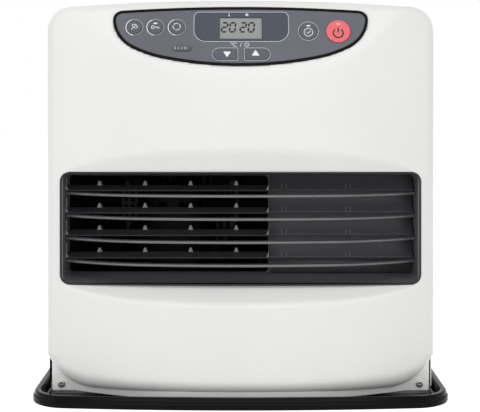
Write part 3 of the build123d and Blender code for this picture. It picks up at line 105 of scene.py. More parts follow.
def grid_faces(rows, columns, closed=False):
    """Quads between the rows and columns of a grid of points; closed joins the last column to the first."""
    row, column = np.meshgrid(np.arange(rows - 1), np.arange(columns if closed else columns - 1), indexing="ij")
    after = (column + 1) % columns
    quads = np.stack([row * columns + column, row * columns + after, (row + 1) * columns + after,
                      (row + 1) * columns + column], axis=-1)
    return quads.reshape(-1, 4)


def joined(parts):
    """Points and faces of several (points, faces) put into one list each."""
    points, faces, start = [], [], 0
    for part_points, part_faces in parts:
        points.append(np.asarray(part_points, float))
        faces.extend([[int(index) + start for index in face] for face in part_faces])
        start += len(part_points)
    return np.vstack(points), faces


def resampled(points, count, end=False):
    """Points spaced evenly along a line through the given points; end keeps its last point."""
    points = np.asarray(points, float)
    lengths = np.concatenate([[0], np.cumsum(np.linalg.norm(np.diff(points, axis=0), axis=1))])
    along = np.linspace(0, lengths[-1], count, endpoint=end)
    return np.stack([np.interp(along, lengths, points[:, axis]) for axis in range(points.shape[1])], axis=1)


def eased(share):
    """Smooth step: 0 below 0, 1 above 1, and in between three times the square less twice the cube."""
    share = np.clip(share, 0, 1)
    return share**2 * (3 - 2 * share)


def arc(centre, radius, start, stop, count=24):
    """Points on a circle's arc between two angles in degrees, in the plane of the first two axes."""
    turn = np.radians(np.linspace(start, stop, count))
    return np.stack([centre[0] + radius * np.cos(turn), centre[1] + radius * np.sin(turn)], axis=1)


def rounded_rectangle(half_x, half_y, radius, centre=(0.0, 0.0), count=10):
    """Closed loop of a rectangle with round corners, anticlockwise from its lower right corner."""
    corners = [(half_x - radius, radius - half_y, -90), (half_x - radius, half_y - radius, 0),
               (radius - half_x, half_y - radius, 90), (radius - half_x, radius - half_y, 180)]
    loop = [arc((x, y), radius, start, start + 90, count) for x, y, start in corners]
    return np.vstack(loop) + np.asarray(centre)


def sagitta(x, setback=0.0):
    """How far the bow lies behind its middle at x: a long arc, then a tangent shorter arc to each side."""
    x = np.abs(x)
    mid, side = BOW_MID_RADIUS - setback, BOW_SIDE_RADIUS - setback
    turn = np.arcsin(BOW_MID_HALF / BOW_MID_RADIUS)
    join = mid * np.sin(turn)
    near = mid - np.sqrt(np.maximum(mid**2 - np.minimum(x, join) ** 2, 0))
    slope = np.sin(turn) + np.maximum(x - join, 0) / side
    return near + side * (np.cos(turn) - np.sqrt(np.maximum(1 - slope**2, 0)))


def face_y(x, z, blend=2.2):
    """Front face: the further back of the bow and the leaning plane, with a smooth turn between them."""
    bow = FRONT_Y + sagitta(x)
    lean = FRONT_Y + np.tan(LEAN_ANGLE) * (z - LEAN_HEIGHT)
    apart = np.maximum(blend - np.abs(bow - lean), 0)
    return np.maximum(bow, lean) + apart**2 / (4 * blend)


def crown_z(x):
    """Height of the crowned top at x: one arc over the whole width."""
    radius = (HALF_WIDTH**2 + CROWN**2) / (2 * CROWN)
    return TOP_Z - radius + np.sqrt(radius**2 - np.asarray(x, float) ** 2)


def outline_sides():
    """Lower edge, right side, top and left side of the panel's outline seen from the front."""
    turn = np.degrees(np.arcsin((HALF_WIDTH - SWEEP_START) / SWEEP_RADIUS))
    sweep = arc((SWEEP_START, FOOT_Z + SWEEP_RADIUS), SWEEP_RADIUS, -90, turn - 90)
    lower = np.vstack([sweep[::-1] * (-1, 1), sweep])
    centre = (HALF_WIDTH - CORNER_RADIUS, crown_z(HALF_WIDTH - CORNER_RADIUS) - CORNER_RADIUS)
    right = np.vstack([sweep[-1:], arc(centre, CORNER_RADIUS, 0, 45)])
    x = np.linspace(HALF_WIDTH - CORNER_RADIUS, CORNER_RADIUS - HALF_WIDTH, 60)[1:-1]
    crown = np.stack([x, crown_z(x)], axis=1)
    top_half = arc(centre, CORNER_RADIUS, 45, 88)
    top = np.vstack([top_half, crown, top_half[::-1] * (-1, 1)])
    return lower, right, top, right[::-1] * (-1, 1)


def opening_sides():
    """The same four sides of the outlet's opening, each from the middle of one corner to the next."""
    half_x, half_z, radius = OUTLET_HALF, OUTLET_HALF_HEIGHT, OUTLET_RADIUS
    corners = [(half_x - radius, OUTLET_Z - half_z + radius, -90), (half_x - radius, OUTLET_Z + half_z - radius, 0)]
    low = arc(corners[0][:2], radius, -90, -45, 8)
    low_side = arc(corners[0][:2], radius, -45, 0, 8)
    high_side = arc(corners[1][:2], radius, 0, 45, 8)
    high = arc(corners[1][:2], radius, 45, 90, 8)
    lower = np.vstack([low[::-1] * (-1, 1), low])
    right = np.vstack([low_side, high_side])
    upper = np.vstack([high, high[::-1] * (-1, 1)])
    return lower, right, upper, right[::-1] * (-1, 1)


def loop_of(sides):
    """One closed loop of points from four sides, with the same number on each side of every loop."""
    return np.vstack([resampled(side, count) for side, count in zip(sides, SIDE_COUNTS)])


def outward(loop):
    """Unit normals of an anticlockwise loop, pointing out of it."""
    along = np.roll(loop, -1, axis=0) - np.roll(loop, 1, axis=0)
    normal = np.stack([along[:, 1], -along[:, 0]], axis=1)
    return normal / np.linalg.norm(normal, axis=1, keepdims=True)


def edge_radius(loop):
    """Rounding at the panel's edge: small at the sides and the top, and growing with the square of how far the
    edge faces down, to more along the foot, where it grows a little again from 50 to 150 mm off the middle."""
    down = np.clip(-outward(loop)[:, 1], 0, 1)
    foot = FOOT_ROUNDING + (FOOT_END_ROUNDING - FOOT_ROUNDING) * eased((np.abs(loop[:, 0]) - 50.0) / 100.0)
    return SIDE_ROUNDING + (foot - SIDE_ROUNDING) * down**2


def lip_depth(x):
    """Depth of the outlet's lip at x: it follows the front's bow on a smaller scale, LIP_BOW forward at its middle."""
    return OUTLET_Y - LIP_BOW * (1 - sagitta(x) / sagitta(OUTLET_HALF))


def front_rows():
    """Rows of points from the lip of the opening out to the seam behind the edge.

    From the opening a steep wall runs forward to a knee and a wide chamfer from there to the face, both
    rounded by quadratic curves. Straight lines across the face reach the edge, and a quarter circle takes
    each one back to the seam. The chamfer's reach is the tangent of its angle times the depth from the lip to
    the face where it arrives, found by trying again from the last answer. Its angle and its rounding grow with
    the square of how far the opening's edge faces up or down, so that no lines cross at the corners.
    """
    inner, outer = loop_of(opening_sides()), loop_of(outline_sides())
    away = outward(inner)
    rise = away[:, 1]
    above, below = np.clip(rise, 0, 1), np.clip(-rise, 0, 1)
    lip = np.maximum(lip_depth(inner[:, 0]), face_y(inner[:, 0], inner[:, 1]) + 1.0)
    chamfer = np.radians(CHAMFER + CHAMFER_MORE_ABOVE * above**2)
    reach = np.zeros(len(inner))
    for _ in range(12):
        corner = inner + away * reach[:, None]
        reach = np.maximum(np.tan(chamfer) * (lip - face_y(corner[:, 0], corner[:, 1])), 0)
    rim = SOFT_RIM + SOFT_RIM_MORE * rise**2
    corner_y = face_y(*(inner + away * reach[:, None]).T)
    wall = WALL_SHARE + WALL_MORE_ABOVE * above - WALL_LESS_BELOW * below
    face_start = inner + away * (reach + rim)[:, None]
    opening = (0 * lip, lip)
    knee = (0.06 * reach, lip + (corner_y - lip) * wall)
    brow = (reach, corner_y)
    face = (reach + rim, face_y(face_start[:, 0], face_start[:, 1]))

    def row_at(distance, depth):
        """A row of points at distances out from the opening's edge and at depths."""
        place = inner + away * distance[:, None]
        return np.stack([place[:, 0], depth, place[:, 1]], axis=1)

    def between(first, second, share):
        """A (distance, depth) pair at a share of the way from one to another."""
        return tuple(one + (two - one) * share for one, two in zip(first, second))

    def rounded(start, corner, end, steps):
        """Rows along the quadratic curve from start to end that is drawn towards a corner."""
        for step in np.linspace(0, 1, steps):
            yield row_at(*between(between(start, corner, step), between(corner, end, step), step))

    rows = [row_at(0 * lip, lip + 6.0), row_at(0 * lip, lip + 0.8)]
    rows += [row_at(*between(opening, knee, share)) for share in (0.03, 0.5)]
    rows += rounded(between(opening, knee, 0.88), knee, between(knee, brow, 0.12), 8)
    rows += rounded(between(knee, brow, 0.75), brow, face, 9)
    radius = edge_radius(outer)
    face_end = outer - outward(outer) * radius[:, None]
    for share in np.linspace(0, 1, 47)[1:]:
        place = face_start + (face_end - face_start) * share
        rows.append(np.stack([place[:, 0], face_y(place[:, 0], place[:, 1]), place[:, 1]], axis=1))
    for turn in np.radians(np.linspace(0, 90, 11)[1:]):
        place = outer - outward(outer) * (radius * (1 - np.sin(turn)))[:, None]
        depth = face_y(place[:, 0], place[:, 1]) + radius * (1 - np.cos(turn))
        rows.append(np.stack([place[:, 0], depth, place[:, 1]], axis=1))
    last = rows[-1]
    for share in (0.03, 0.5, 1.0):
        rows.append(last + np.stack([0 * last[:, 0], (SEAM_Y - last[:, 1]) * share, 0 * last[:, 0]], axis=1))
    return rows


def lens_loop():
    """Outline of the control panel on the leaning face, from arcs that start at its lowest point. The last arc's
    radius closes the half on the middle line: the reach of the others over the sine of the turn that is left."""
    headings = np.concatenate([[0], np.cumsum(LENS_TURNS)])
    reach = sum(r * (np.sin(np.radians(b)) - np.sin(np.radians(a)))
                for r, a, b in zip(LENS_RADII, headings, headings[1:]))
    last = 180 - headings[-1]
    radii = LENS_RADII + (reach / np.sin(np.radians(last)),)
    point, heading, half = np.array([0.0, LENS_FOOT]), 0.0, []
    for radius, turn in zip(radii, LENS_TURNS + (last,)):
        centre = point + radius * np.array([-np.sin(np.radians(heading)), np.cos(np.radians(heading))])
        run = arc(centre, radius, heading - 90, heading + turn - 90, 16)
        half.append(run)
        point, heading = run[-1], heading + turn
    half = np.vstack(half)
    return np.vstack([half, half[::-1] * (-1, 1)])


def inside(points, loop):
    """Which points lie inside a closed loop, by counting the loop's edges crossed to the right."""
    x, y = points[:, 0][:, None], points[:, 1][:, None]
    a, b = loop, np.roll(loop, -1, axis=0)
    straddles = (a[:, 1] > y) != (b[:, 1] > y)
    rise = np.where(b[:, 1] == a[:, 1], 1e-9, b[:, 1] - a[:, 1])
    crossing = a[:, 0] + (y - a[:, 1]) * (b[:, 0] - a[:, 0]) / rise
    return (straddles & (x < crossing)).sum(axis=1) % 2 == 1


def with_control_hole(points, faces, back_limit=-110.0):
    """Points and faces with a hole under the control panel. Faces that lie inside its outline go, and the inner
    points of the faces that cross it move to the nearest place on it. Points behind back_limit stay."""
    flat = np.stack([points[:, 0], (points[:, 2] - LEAN_HEIGHT) / np.cos(LEAN_ANGLE)], axis=1)
    hole = lens_loop()
    within = inside(flat, hole) & (points[:, 1] < back_limit)
    mixed = within[faces].any(axis=1) & ~within[faces].all(axis=1)
    rim = np.unique(faces[mixed])
    rim = rim[within[rim]]
    fine = resampled(np.vstack([hole, hole[:1]]), 2400)
    near = fine[np.argmin(((flat[rim][:, None] - fine) ** 2).sum(axis=2), axis=1)]
    height = LEAN_HEIGHT + near[:, 1] * np.cos(LEAN_ANGLE)
    points[rim] = np.stack([near[:, 0], face_y(near[:, 0], height), height], axis=1)
    return points, faces[~within[faces].all(axis=1)]


def front_strip():
    """The strip set back below the bulge, carried straight up. In plan it is the front's bow moved back, less so
    at its middle, then a small step to the flat ear at each end, and a round corner back to the seam."""
    ear_x, ear_y, ear_corner = 209.5, -101.5, 2.0
    setback, less_at_middle = 16.0, 8.0
    x = np.linspace(0, ear_x, 200)
    depth = FRONT_Y + setback + sagitta(x, setback) - less_at_middle * (1 - eased((x - 60.0) / 100.0))
    bow = np.stack([x, depth], axis=1)[depth < ear_y - 0.4]
    step = bow[-1]
    half = np.vstack([bow, [(step[0] + 1.5, ear_y - 0.1), (step[0] + 4, ear_y)],
                      arc((ear_x - ear_corner, ear_y + ear_corner), ear_corner, -90, 0, 6), [(ear_x, SEAM_Y)]])
    path = resampled(np.vstack([half[::-1] * (-1, 1), half[1:]]), 260, end=True)
    rows = [np.stack([path[:, 0], path[:, 1], np.full(len(path), z)], axis=1) for z in (6.0, 6.5, 28.0, 49.0)]
    return np.vstack(rows), grid_faces(len(rows), len(path))


def front_panel(material):
    """The pressed front: one sheet from its seam over the face into the outlet, and the strip below."""
    rows = front_rows()
    faces = grid_faces(len(rows), len(rows[0]), closed=True)[:, ::-1]
    all_points, all_faces = joined([with_control_hole(np.vstack(rows), faces), front_strip()])
    panel = piece("front_pressing", all_points, all_faces, material)
    thick = panel.modifiers.new("sheet thickness", "SOLIDIFY")
    thick.thickness = SHEET * MM
    thick.offset = -1
    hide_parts("front_panel")


def outlet_throat(material):
    """Dark rim of the outlet: a thin bead round the lip that carries the frame forward to the bowed front. Each
    profile point is (distance in from the opening's edge, distance behind the lip)."""
    profile = [(-0.3, 2.0), (-0.3, -0.3), (0.3, -0.7), (1.4, -0.7), (2.0, -0.1), (2.1, 12.0), (1.2, 12.0)]
    loops = []
    for inset, behind in profile:
        loop = rounded_rectangle(OUTLET_HALF - inset, OUTLET_HALF_HEIGHT - inset, OUTLET_RADIUS - inset,
                                 (0.0, OUTLET_Z), 12)
        loop = resampled(np.vstack([loop, loop[:1]]), 480)
        depth = np.minimum(lip_depth(loop[:, 0]) + behind, OUTLET_Y + 2.0)
        loops.append(np.stack([loop[:, 0], depth, loop[:, 1]], axis=1))
    loops.append(loops[0])
    throat = piece("outlet_rim", np.vstack(loops), grid_faces(len(loops), 480, closed=True), material)
    mend(throat)


def drip_tray(material):
    """A pressed rim profile carried round a rectangle with round corners; the floor and underside are flat.

    Each profile point is (distance in from the outer edge, height). The front bows: its depth grows from the
    ends to the middle with the square of the distance from the middle, over twice the bow's radius.
    """
    profile = [(1.2, 0.0), (0.3, 0.4), (0.0, 1.4), (0.0, 6.6), (0.25, 7.3), (1.0, 7.8), (1.75, 8.1), (2.0, 8.8),
               (2.0, 11.0), (2.35, 11.9), (3.2, 12.4), (4.2, 12.5), (7.6, 12.5), (8.6, 12.2), (9.2, 11.4),
               (10.2, 4.2), (10.9, 2.7), (12.6, 2.05), (16.0, 2.0)]
    front_corner, back_corner, least_corner, bow_radius = 38.0, 32.0, 4.0, 2000.0
    loops = []
    for inset, height in profile:
        front, back = (rounded_rectangle(TRAY_HALF_WIDTH - inset, TRAY_HALF_DEPTH - inset,
                                         max(radius - inset, least_corner), count=20)
                       for radius in (front_corner, back_corner))
        loop = np.where(front[:, 1:] < 0, front, back)
        loop = resampled(np.vstack([loop, loop[:1]]), 480)
        loop[:, 1] += np.clip(-loop[:, 1] / TRAY_HALF_DEPTH, 0, 1) * loop[:, 0] ** 2 / (2 * bow_radius)
        loops.append(np.column_stack([loop, np.full(len(loop), height)]))
    count = len(loops[0])
    faces = grid_faces(len(loops), count, closed=True).tolist()
    faces.append(list(range(count))[::-1])
    faces.append([(len(loops) - 1) * count + index for index in range(count)])
    tray = piece("pressed_tray", np.vstack(loops), faces, material)
    for polygon in tray.data.polygons[-2:]:
        polygon.use_smooth = False
    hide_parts("drip_tray")


def on_panel(points, level):
    """Points (across, up the slope) on the leaning face, raised by level along its normal."""
    across, up = np.asarray(points, float).T
    return np.stack([across, FRONT_Y + up * np.sin(LEAN_ANGLE) - level * np.cos(LEAN_ANGLE),
                     LEAN_HEIGHT + up * np.cos(LEAN_ANGLE) + level * np.sin(LEAN_ANGLE)], axis=1)


def ribbon(path, width, closed=False):
    """Flat band of even width along a path: each point moved half the width to both sides."""
    path = np.asarray(path, float)
    if closed:
        along = np.roll(path, -1, axis=0) - np.roll(path, 1, axis=0)
    else:
        along = np.gradient(path, axis=0)
    along = along / np.maximum(np.linalg.norm(along, axis=1, keepdims=True), 1e-9)
    normal = np.stack([-along[:, 1], along[:, 0]], axis=1)
    points = np.vstack([path - normal * width / 2, path + normal * width / 2])
    return points, grid_faces(2, len(path), closed)


def filled(loop):
    """A flat shape from its anticlockwise outline."""
    return np.asarray(loop, float), [list(range(len(loop)))]


def printed(name, shapes, level, material, body="cabinet"):
    """Several flat shapes as one thin raised print, 0.06 mm thick, at a level over the leaning face."""
    points, faces = joined(shapes)
    mark = piece(name, on_panel(points, level), faces, material, body, smooth=False)
    thick = mark.modifiers.new("ink thickness", "SOLIDIFY")
    thick.thickness = 0.06 * MM
    thick.offset = 1


def shifted(shape, place):
    """A (points, faces) shape moved by place."""
    points, faces = shape
    return np.asarray(points, float) + np.asarray(place, float), faces


def segment_digit(segments, width, height, lean=0.09, stroke=1.9, gap=0.35):
    """A seven segment digit from bars with pointed ends; segments are lettered a to g from the top. Each bar
    stops a gap short of its ends, and all move aside by lean times their height."""
    w, h = width / 2 - stroke / 2, height / 2 - stroke / 2
    ends = {"a": ((-w, h), (w, h)), "b": ((w, h), (w, 0)), "c": ((w, 0), (w, -h)), "d": ((-w, -h), (w, -h)),
            "e": ((-w, -h), (-w, 0)), "f": ((-w, 0), (-w, h)), "g": ((-w, 0), (w, 0))}
    bars = []
    for letter in segments:
        a, b = (np.array(end, float) for end in ends[letter])
        run = (b - a) / np.linalg.norm(b - a)
        a, b = a + run * gap, b - run * gap
        side = np.array([-run[1], run[0]]) * stroke / 2
        loop = np.array([a, a + run * stroke / 2 - side, b - run * stroke / 2 - side, b,
                         b - run * stroke / 2 + side, a + run * stroke / 2 + side])
        loop[:, 0] += loop[:, 1] * lean
        bars.append(filled(loop))
    return joined(bars)


def rounded_bar(x, v, width, height):
    """A small bar with round ends."""
    return filled(rounded_rectangle(width / 2, height / 2, min(width, height) / 2 - 0.01, (x, v), 5))


def arrow_loop(direction, grow=0.0):
    """Outline of an arrow button: straight towards the middle and round towards its end."""
    middle_x, middle_v, near, straight, length, height = 0.8, 24.2, 4.5, 20.0, 26.0, 12.9
    a, b, c = near - grow, near + straight, near + length + grow
    half = height / 2 + grow
    bulge = c - b
    radius = (half**2 + bulge**2) / (2 * bulge)
    swing = np.degrees(np.arcsin(half / radius))
    tip = arc((c - radius, 0), radius, -swing, swing, 16)
    loop = np.vstack([[(a, -half)], tip, [(a, half)]])
    return resampled(np.vstack([loop, loop[:1]]), 90) * (direction, 1) + (middle_x, middle_v)


def display_loop(grow=0.0):
    """Outline of the display window: small corners on top and larger ones below."""
    x, v, half_x, half_v, top, low = 0.85, 56.5, 50.35 + grow, 16.45 + grow, 5.0 + grow, 12.0 + grow
    loop = [arc((half_x - low, low - half_v), low, -90, 0), arc((half_x - top, half_v - top), top, 0, 90),
            arc((top - half_x, half_v - top), top, 90, 180), arc((low - half_x, low - half_v), low, 180, 270)]
    return resampled(np.vstack(loop + [loop[0][:1]]), 160) + (x, v)


def control_printing(ink, dark_ink, warm_light, white_guide_and_highlight):
    """Icons on the buttons, outlines round them, painted highlights on the rims of five buttons, the digits of the
    display and its pictograms.

    Places are (across, up the slope) on the leaning face. The print lies at one of three levels over it: on top
    of a button, on the flat fascia or on the glass of the display.
    """
    top, flat, glass = 2.32, 0.82, 0.33
    save, lock, extend = (-115.0, 55.9), (-92.3, 55.9), (-69.1, 55.9)
    timer, power = (73.5, 51.3), (105.7, 50.6)

    leaf = np.vstack([arc((-1.6, -1.9), 5.2, 8, 66, 12), arc((2.6, 3.1), 5.2, 188, 246, 12)])
    printed("save_icon", [shifted(ribbon(leaf, 0.85, True), save),
                          shifted(ribbon([(-3.4, -3.6), (-1.2, -1.2), (1.9, 2.1)], 0.8), save)],
            top, ink, "save_button")
    key = [ribbon(arc((-2.6, 0), 1.6, 0, 360, 24)[:-1], 0.95, True), ribbon([(-1.1, 0), (4.2, 0)], 1.0),
           ribbon([(2.2, 0), (2.2, -1.7)], 1.0), ribbon([(3.9, 0), (3.9, -1.7)], 1.0)]
    printed("lock_icon", [shifted(shape, np.array(lock) + (0, -0.6)) for shape in key], top, ink, "child_lock_button")
    ring = [ribbon(arc((0, 0), 3.9, 70 + 90 * part, 143 + 90 * part, 12), 1.0) for part in range(4)]
    printed("extend_icon", [shifted(shape, extend) for shape in ring], top, ink, "extend_button")
    clock = [ribbon(arc((0, 0), 4.6, 0, 360, 36)[:-1], 0.9, True),
             ribbon([(-1.9, 0.3), (-0.4, -1.3), (2.2, 1.6)], 0.95)]
    printed("timer_icon", [shifted(shape, np.array(timer) + (0, -2.0)) for shape in clock], top, ink, "timer_button")
    switch = [ribbon(arc((0, 0), 5.3, 128, 412, 40), 1.45), ribbon([(0, 0.8), (0, 6.4)], 1.45)]
    printed("power_icon", [shifted(shape, np.array(power) + (0, -2.3)) for shape in switch], top, dark_ink,
            "power_button")
    printed("lock_lamp", [rounded_bar(lock[0], lock[1] + 3.9, 4.2, 1.7)], top, white_guide_and_highlight, "child_lock_button")
    printed("timer_lamp", [rounded_bar(timer[0], timer[1] + 5.6, 4.2, 1.6)], top, white_guide_and_highlight, "timer_button")
    lamp = [(-1.5, -1.0), (1.5, -1.0), (2.6, 0.9), (-2.6, 0.9)]
    printed("power_lamp", [shifted(filled(lamp), (power[0], power[1] + 8.4))], top, warm_light, "power_button")
    printed("pill_icon", [shifted(ribbon([(-7.3, -1.9), (-7.9, 0), (-7.3, 1.9)], 0.7), (-63.0, 30.7)),
                          shifted(ribbon([(-3.6, -1.5), (-3.6, 1.5)], 0.45), (-63.0, 30.7)),
                          shifted(ribbon([(-0.9, -1.5), (0.5, 1.5)], 0.4), (-63.0, 30.7)),
                          shifted(ribbon(arc((3.6, 0), 1.35, 0, 360, 20)[:-1], 0.4, True), (-63.0, 30.7))],
            top, ink, "on_off_button")
    down = rounded_triangle(4.9, 0.6) * (1, -1)
    printed("down_icon", [shifted(filled(down[::-1]), (-14.4, 24.3))], top, white_guide_and_highlight, "down_button")
    printed("up_icon", [shifted(filled(rounded_triangle(4.9, 0.6)), (16.2, 24.1))], top, white_guide_and_highlight, "up_button")

    outlines = [ribbon(display_loop(1.0), 0.55, True)]
    outlines += [ribbon(arc(timer, 10.9, 0, 360, 64)[:-1], 0.5, True)]
    outlines += [ribbon(arrow_loop(direction, 0.75), 0.5, True) for direction in (-1, 1)]
    printed("outlines", outlines, flat, ink)
    # Painted highlights: pale arcs on the left of the three round buttons and strokes beside the arrows, where their
    # rims catch the light
    glints = [ribbon(arc(place, 9.3, 112, 262, 30), 0.95) for place in (save, lock, extend)]
    glints += [ribbon([(-5.0, 18.8), (-4.7, 24.2), (-5.0, 29.6)], 0.8),
               ribbon([(6.5, 19.4), (6.2, 24.2), (6.6, 28.6)], 0.7)]
    printed("painted_highlight_rims", glints, flat + 0.02, white_guide_and_highlight)
    printed("faint_rims", [ribbon(arc(place, 9.2, 0, 360, 48)[:-1], 0.4, True) for place in (save, lock, extend)],
            flat, ink)

    digits = []
    for middle, segments in ((-17.3, "abdeg"), (-8.6, "abcdef"), (2.9, "abdeg"), (11.7, "abcdef")):
        digits.append(shifted(segment_digit(segments, 7.7, 12.6), (middle, 55.9)))
    printed("digits", digits, glass, dark_ink)
    house = [(-1.6, -1.3), (1.6, -1.3), (1.6, 0.3), (2.2, 0.3), (0, 1.9), (-2.2, 0.3), (-1.6, 0.3)]
    stem = [ribbon([(0, -0.6), (0, 1.7)], 0.7), shifted(filled(arc((0, 0), 0.9, 0, 360, 14)[:-1]), (0, -1.2))]
    printed("small_signs", [shifted(shape, (-12.4, 70.6)) for shape in stem]
            + [shifted(filled(house), (6.9, 70.4))], 1.42, ink)
    warm = [shifted(ribbon(arc((0, 0), 1.0, 0, 360, 16)[:-1], 0.5, True), (-9.4, 36.9)),
            shifted(ribbon(arc((0, 0), 2.1, 45, 315, 20), 0.75), (-5.6, 35.3)),
            ribbon([(-0.4, 32.8), (1.0, 37.6)], 0.55),
            shifted(ribbon(arc((0, 0), 2.3, 0, 360, 30)[:-1], 0.6, True), (6.8, 35.2)),
            ribbon([(6.8, 36.6), (6.8, 35.1), (8.0, 34.4)], 0.5)]
    printed("setting_signs", warm, flat, ink)


def rounded_triangle(radius, corner):
    """A triangle that points up, with its corners rounded by short arcs."""
    loop = []
    for turn in (-30, 90, 210):
        middle = np.array([np.cos(np.radians(turn)), np.sin(np.radians(turn))]) * (radius - 2 * corner)
        loop.append(arc(middle, corner, turn - 60, turn + 60, 7))
    return np.vstack(loop) * (1, 0.92)


def prism(corners, start, stop, axis=0):
    """A convex outline carried straight along one axis between two places, closed at both ends."""
    count = len(corners)
    ends = [np.insert(np.asarray(corners, float), axis, place, axis=1) for place in (start, stop)]
    faces = [(at, (at + 1) % count, (at + 1) % count + count, at + count) for at in range(count)]
    return np.vstack(ends), faces + [tuple(range(count))[::-1], tuple(range(count, 2 * count))]


def slat_details(material):
    """Upright tabs at the back of each slat, and the folded ends that hold each slat in the window.

    Every row has four tabs, narrower at the top, a small ear at each end of its slat, and an upright edge of the
    window's frame at the left, a thin strip. All are pale grey as painted highlight, where light catches them.
    Heights are counted from the row's bar.
    """
    first_tab, tab_pitch, tab_foot, tab_head = -159.0, 51.4, 2.6, 0.9
    window_left, window_right, highlight_strip_left = -194.9, 31.4, -195.1
    parts = []
    for row in BAR_HEIGHTS:
        for tab in range(4):
            x = first_tab + tab_pitch * tab
            outline = [(x - tab_foot, row + 7.7), (x + tab_foot, row + 7.7),
                       (x + tab_head, row + 12.6), (x - tab_head, row + 12.6)]
            parts.append(prism(outline, -83.0, -82.4, axis=1))
        for x, side in ((window_left, 1), (window_right, -1)):
            outline = [(x, row + 3.4), (x + side * 2.6, row + 3.4), (x + side * 1.4, row + 6.0), (x, row + 9.5)]
            parts.append(prism(outline, -94.0, -92.6, axis=1))
        outline = [(highlight_strip_left, row + 9.0), (highlight_strip_left + 1.0, row + 9.0),
                   (highlight_strip_left + 1.0, row + 19.5), (highlight_strip_left, row + 19.5)]
        parts.append(prism(outline, -92.0, -91.0, axis=1))
    points, faces = joined(parts)
    details = piece("slat_tabs_and_ends", points, faces, material, smooth=False)
    mend(details)


SECTION_TOP, SECTION_FOOT, SECTION_BACK_Y, SECTION_SWEEP = 31.3, 3.7, -81.3, 13.1
CLOSED_LEFT, CLOSED_RIGHT = 31.8, 192.9


def section_y(rise):
    """Depth of the closed plate's curved face at a height over its bar: upright at the top, and swept forward
    below with the 2.2nd power of the share of the way down."""
    down = np.clip((SECTION_TOP - np.asarray(rise, float)) / (SECTION_TOP - SECTION_FOOT), 0, 1)
    return SECTION_BACK_Y - SECTION_SWEEP * down**2.2


def closed_sections(material):
    """The closed half of the outlet: between two slats each section sweeps forward to the slat's front edge. The
    highest section is cut short by the frame, and a flat dark sheet under the lowest slat is painted shade over the
    frame's lighter paint."""
    highest_top, sheet = 19.3, 0.7
    shade_sheet_foot, shade_sheet_top, shade_sheet_back_y = 134.0, 155.0, -81.9
    parts = []
    for index, row in enumerate(BAR_HEIGHTS):
        rise = np.linspace(highest_top if index == 0 else SECTION_TOP, SECTION_FOOT, 25)
        front = np.stack([section_y(rise), row + rise], axis=1)
        back = front[::-1] + (sheet, 0.0)
        loop = np.vstack([front, back])
        places = np.linspace(CLOSED_LEFT, CLOSED_RIGHT, 12)
        points = np.vstack([np.insert(loop, 0, x, axis=1) for x in places])
        faces = grid_faces(len(places), len(loop), closed=True).tolist()
        for start in (0, (len(places) - 1) * len(loop)):
            faces += [(start + at, start + at + 1, start + len(loop) - 2 - at, start + len(loop) - 1 - at)
                      for at in range(len(front) - 1)]
        parts.append((points, faces))
    # A dark sheet under the lowest slat: painted shade over the frame's lighter paint
    strip = [(CLOSED_LEFT, shade_sheet_foot), (CLOSED_RIGHT, shade_sheet_foot), (CLOSED_RIGHT, shade_sheet_top), (CLOSED_LEFT, shade_sheet_top)]
    parts.append(prism(strip, shade_sheet_back_y, SECTION_BACK_Y, axis=1))
    points, faces = joined(parts)
    sections = piece("closed_sections", points, faces, material)
    mend(sections)


def plate_lances(material):
    """Pairs of short upright ridges lanced out of the closed sections, two pairs to each row. A ridge stands out
    as half an ellipse along its height and bends towards its pair's middle with the square of that height."""
    half_height, apart, half_width, stand, middle_rise = 2.6, 2.6, 0.3, 0.7, 7.0
    z = np.linspace(-half_height, half_height, 9)
    y = section_y(middle_rise + z)
    depth = stand * np.sqrt(np.maximum(1 - (z / 2.8) ** 2, 0)) + 0.1
    ridges = []
    for row in BAR_HEIGHTS:
        for middle in (48.6, 120.0):
            for side in (-1, 1):
                bend = side * (apart - 0.06 * z**2)
                left = np.stack([middle + bend - half_width, y + 0.1, row + middle_rise + z], axis=1)
                ridge = np.stack([middle + bend, y - depth, row + middle_rise + z], axis=1)
                right = left + (2 * half_width, 0, 0)
                ridges.append((np.vstack([left, ridge, right]), grid_faces(3, 9)))
    points, faces = joined(ridges)
    lances = piece("plate_lances", points, faces, material)


def mend(thing):
    """Merges doubled points and turns all faces outwards."""
    work = bmesh.new()
    work.from_mesh(thing.data)
    bmesh.ops.remove_doubles(work, verts=work.verts, dist=1e-6)
    bmesh.ops.recalc_face_normals(work, faces=work.faces)
    work.to_mesh(thing.data)
    work.free()


def filter_net(material):
    """Fine net across the filter's frame: a thin sheet that sags towards the guard between the frame's ribs, by
    the product of one half sine wave from rib to rib across and one from rib to rib upwards."""
    count, net_y, sag = 61, 152.2, 0.12
    middle_x, middle_z, rib_pitch_x, rib_pitch_z = -80.0, 190.0, 57.9, 58.0
    x, z = np.meshgrid(np.linspace(-166.8, 6.8, count), np.linspace(103.2, 277.2, count), indexing="xy")
    y = net_y - sag * (np.abs(np.sin((x - middle_x) / rib_pitch_x * pi))
                       * np.abs(np.sin((z - middle_z) / rib_pitch_z * pi)))
    points = np.stack([x, y, z], axis=-1).reshape(-1, 3)
    net = piece("filter_cloth", points, grid_faces(count, count)[:, ::-1], material, "air_filter")
    thick = net.modifiers.new("cloth thickness", "SOLIDIFY")
    thick.thickness = 0.25 * MM


def linear(code):
    """Linear colour from an sRGB hex value."""
    channels = np.array([int(code[at:at + 2], 16) for at in (1, 3, 5)]) / 255
    return tuple(np.where(channels <= 0.04045, channels / 12.92, ((channels + 0.055) / 1.055) ** 2.4)) + (1.0,)


def add_node(tree, kind, inputs=None, **settings):
    """Adds one node, sets its settings, and sets or links its inputs."""
    made = tree.nodes.new(kind)
    for name, value in settings.items():
        setattr(made, name, value)
    for name, value in (inputs or {}).items():
        if isinstance(value, bpy.types.NodeSocket):
            tree.links.new(value, made.inputs[name])
        else:
            made.inputs[name].default_value = value
    return made


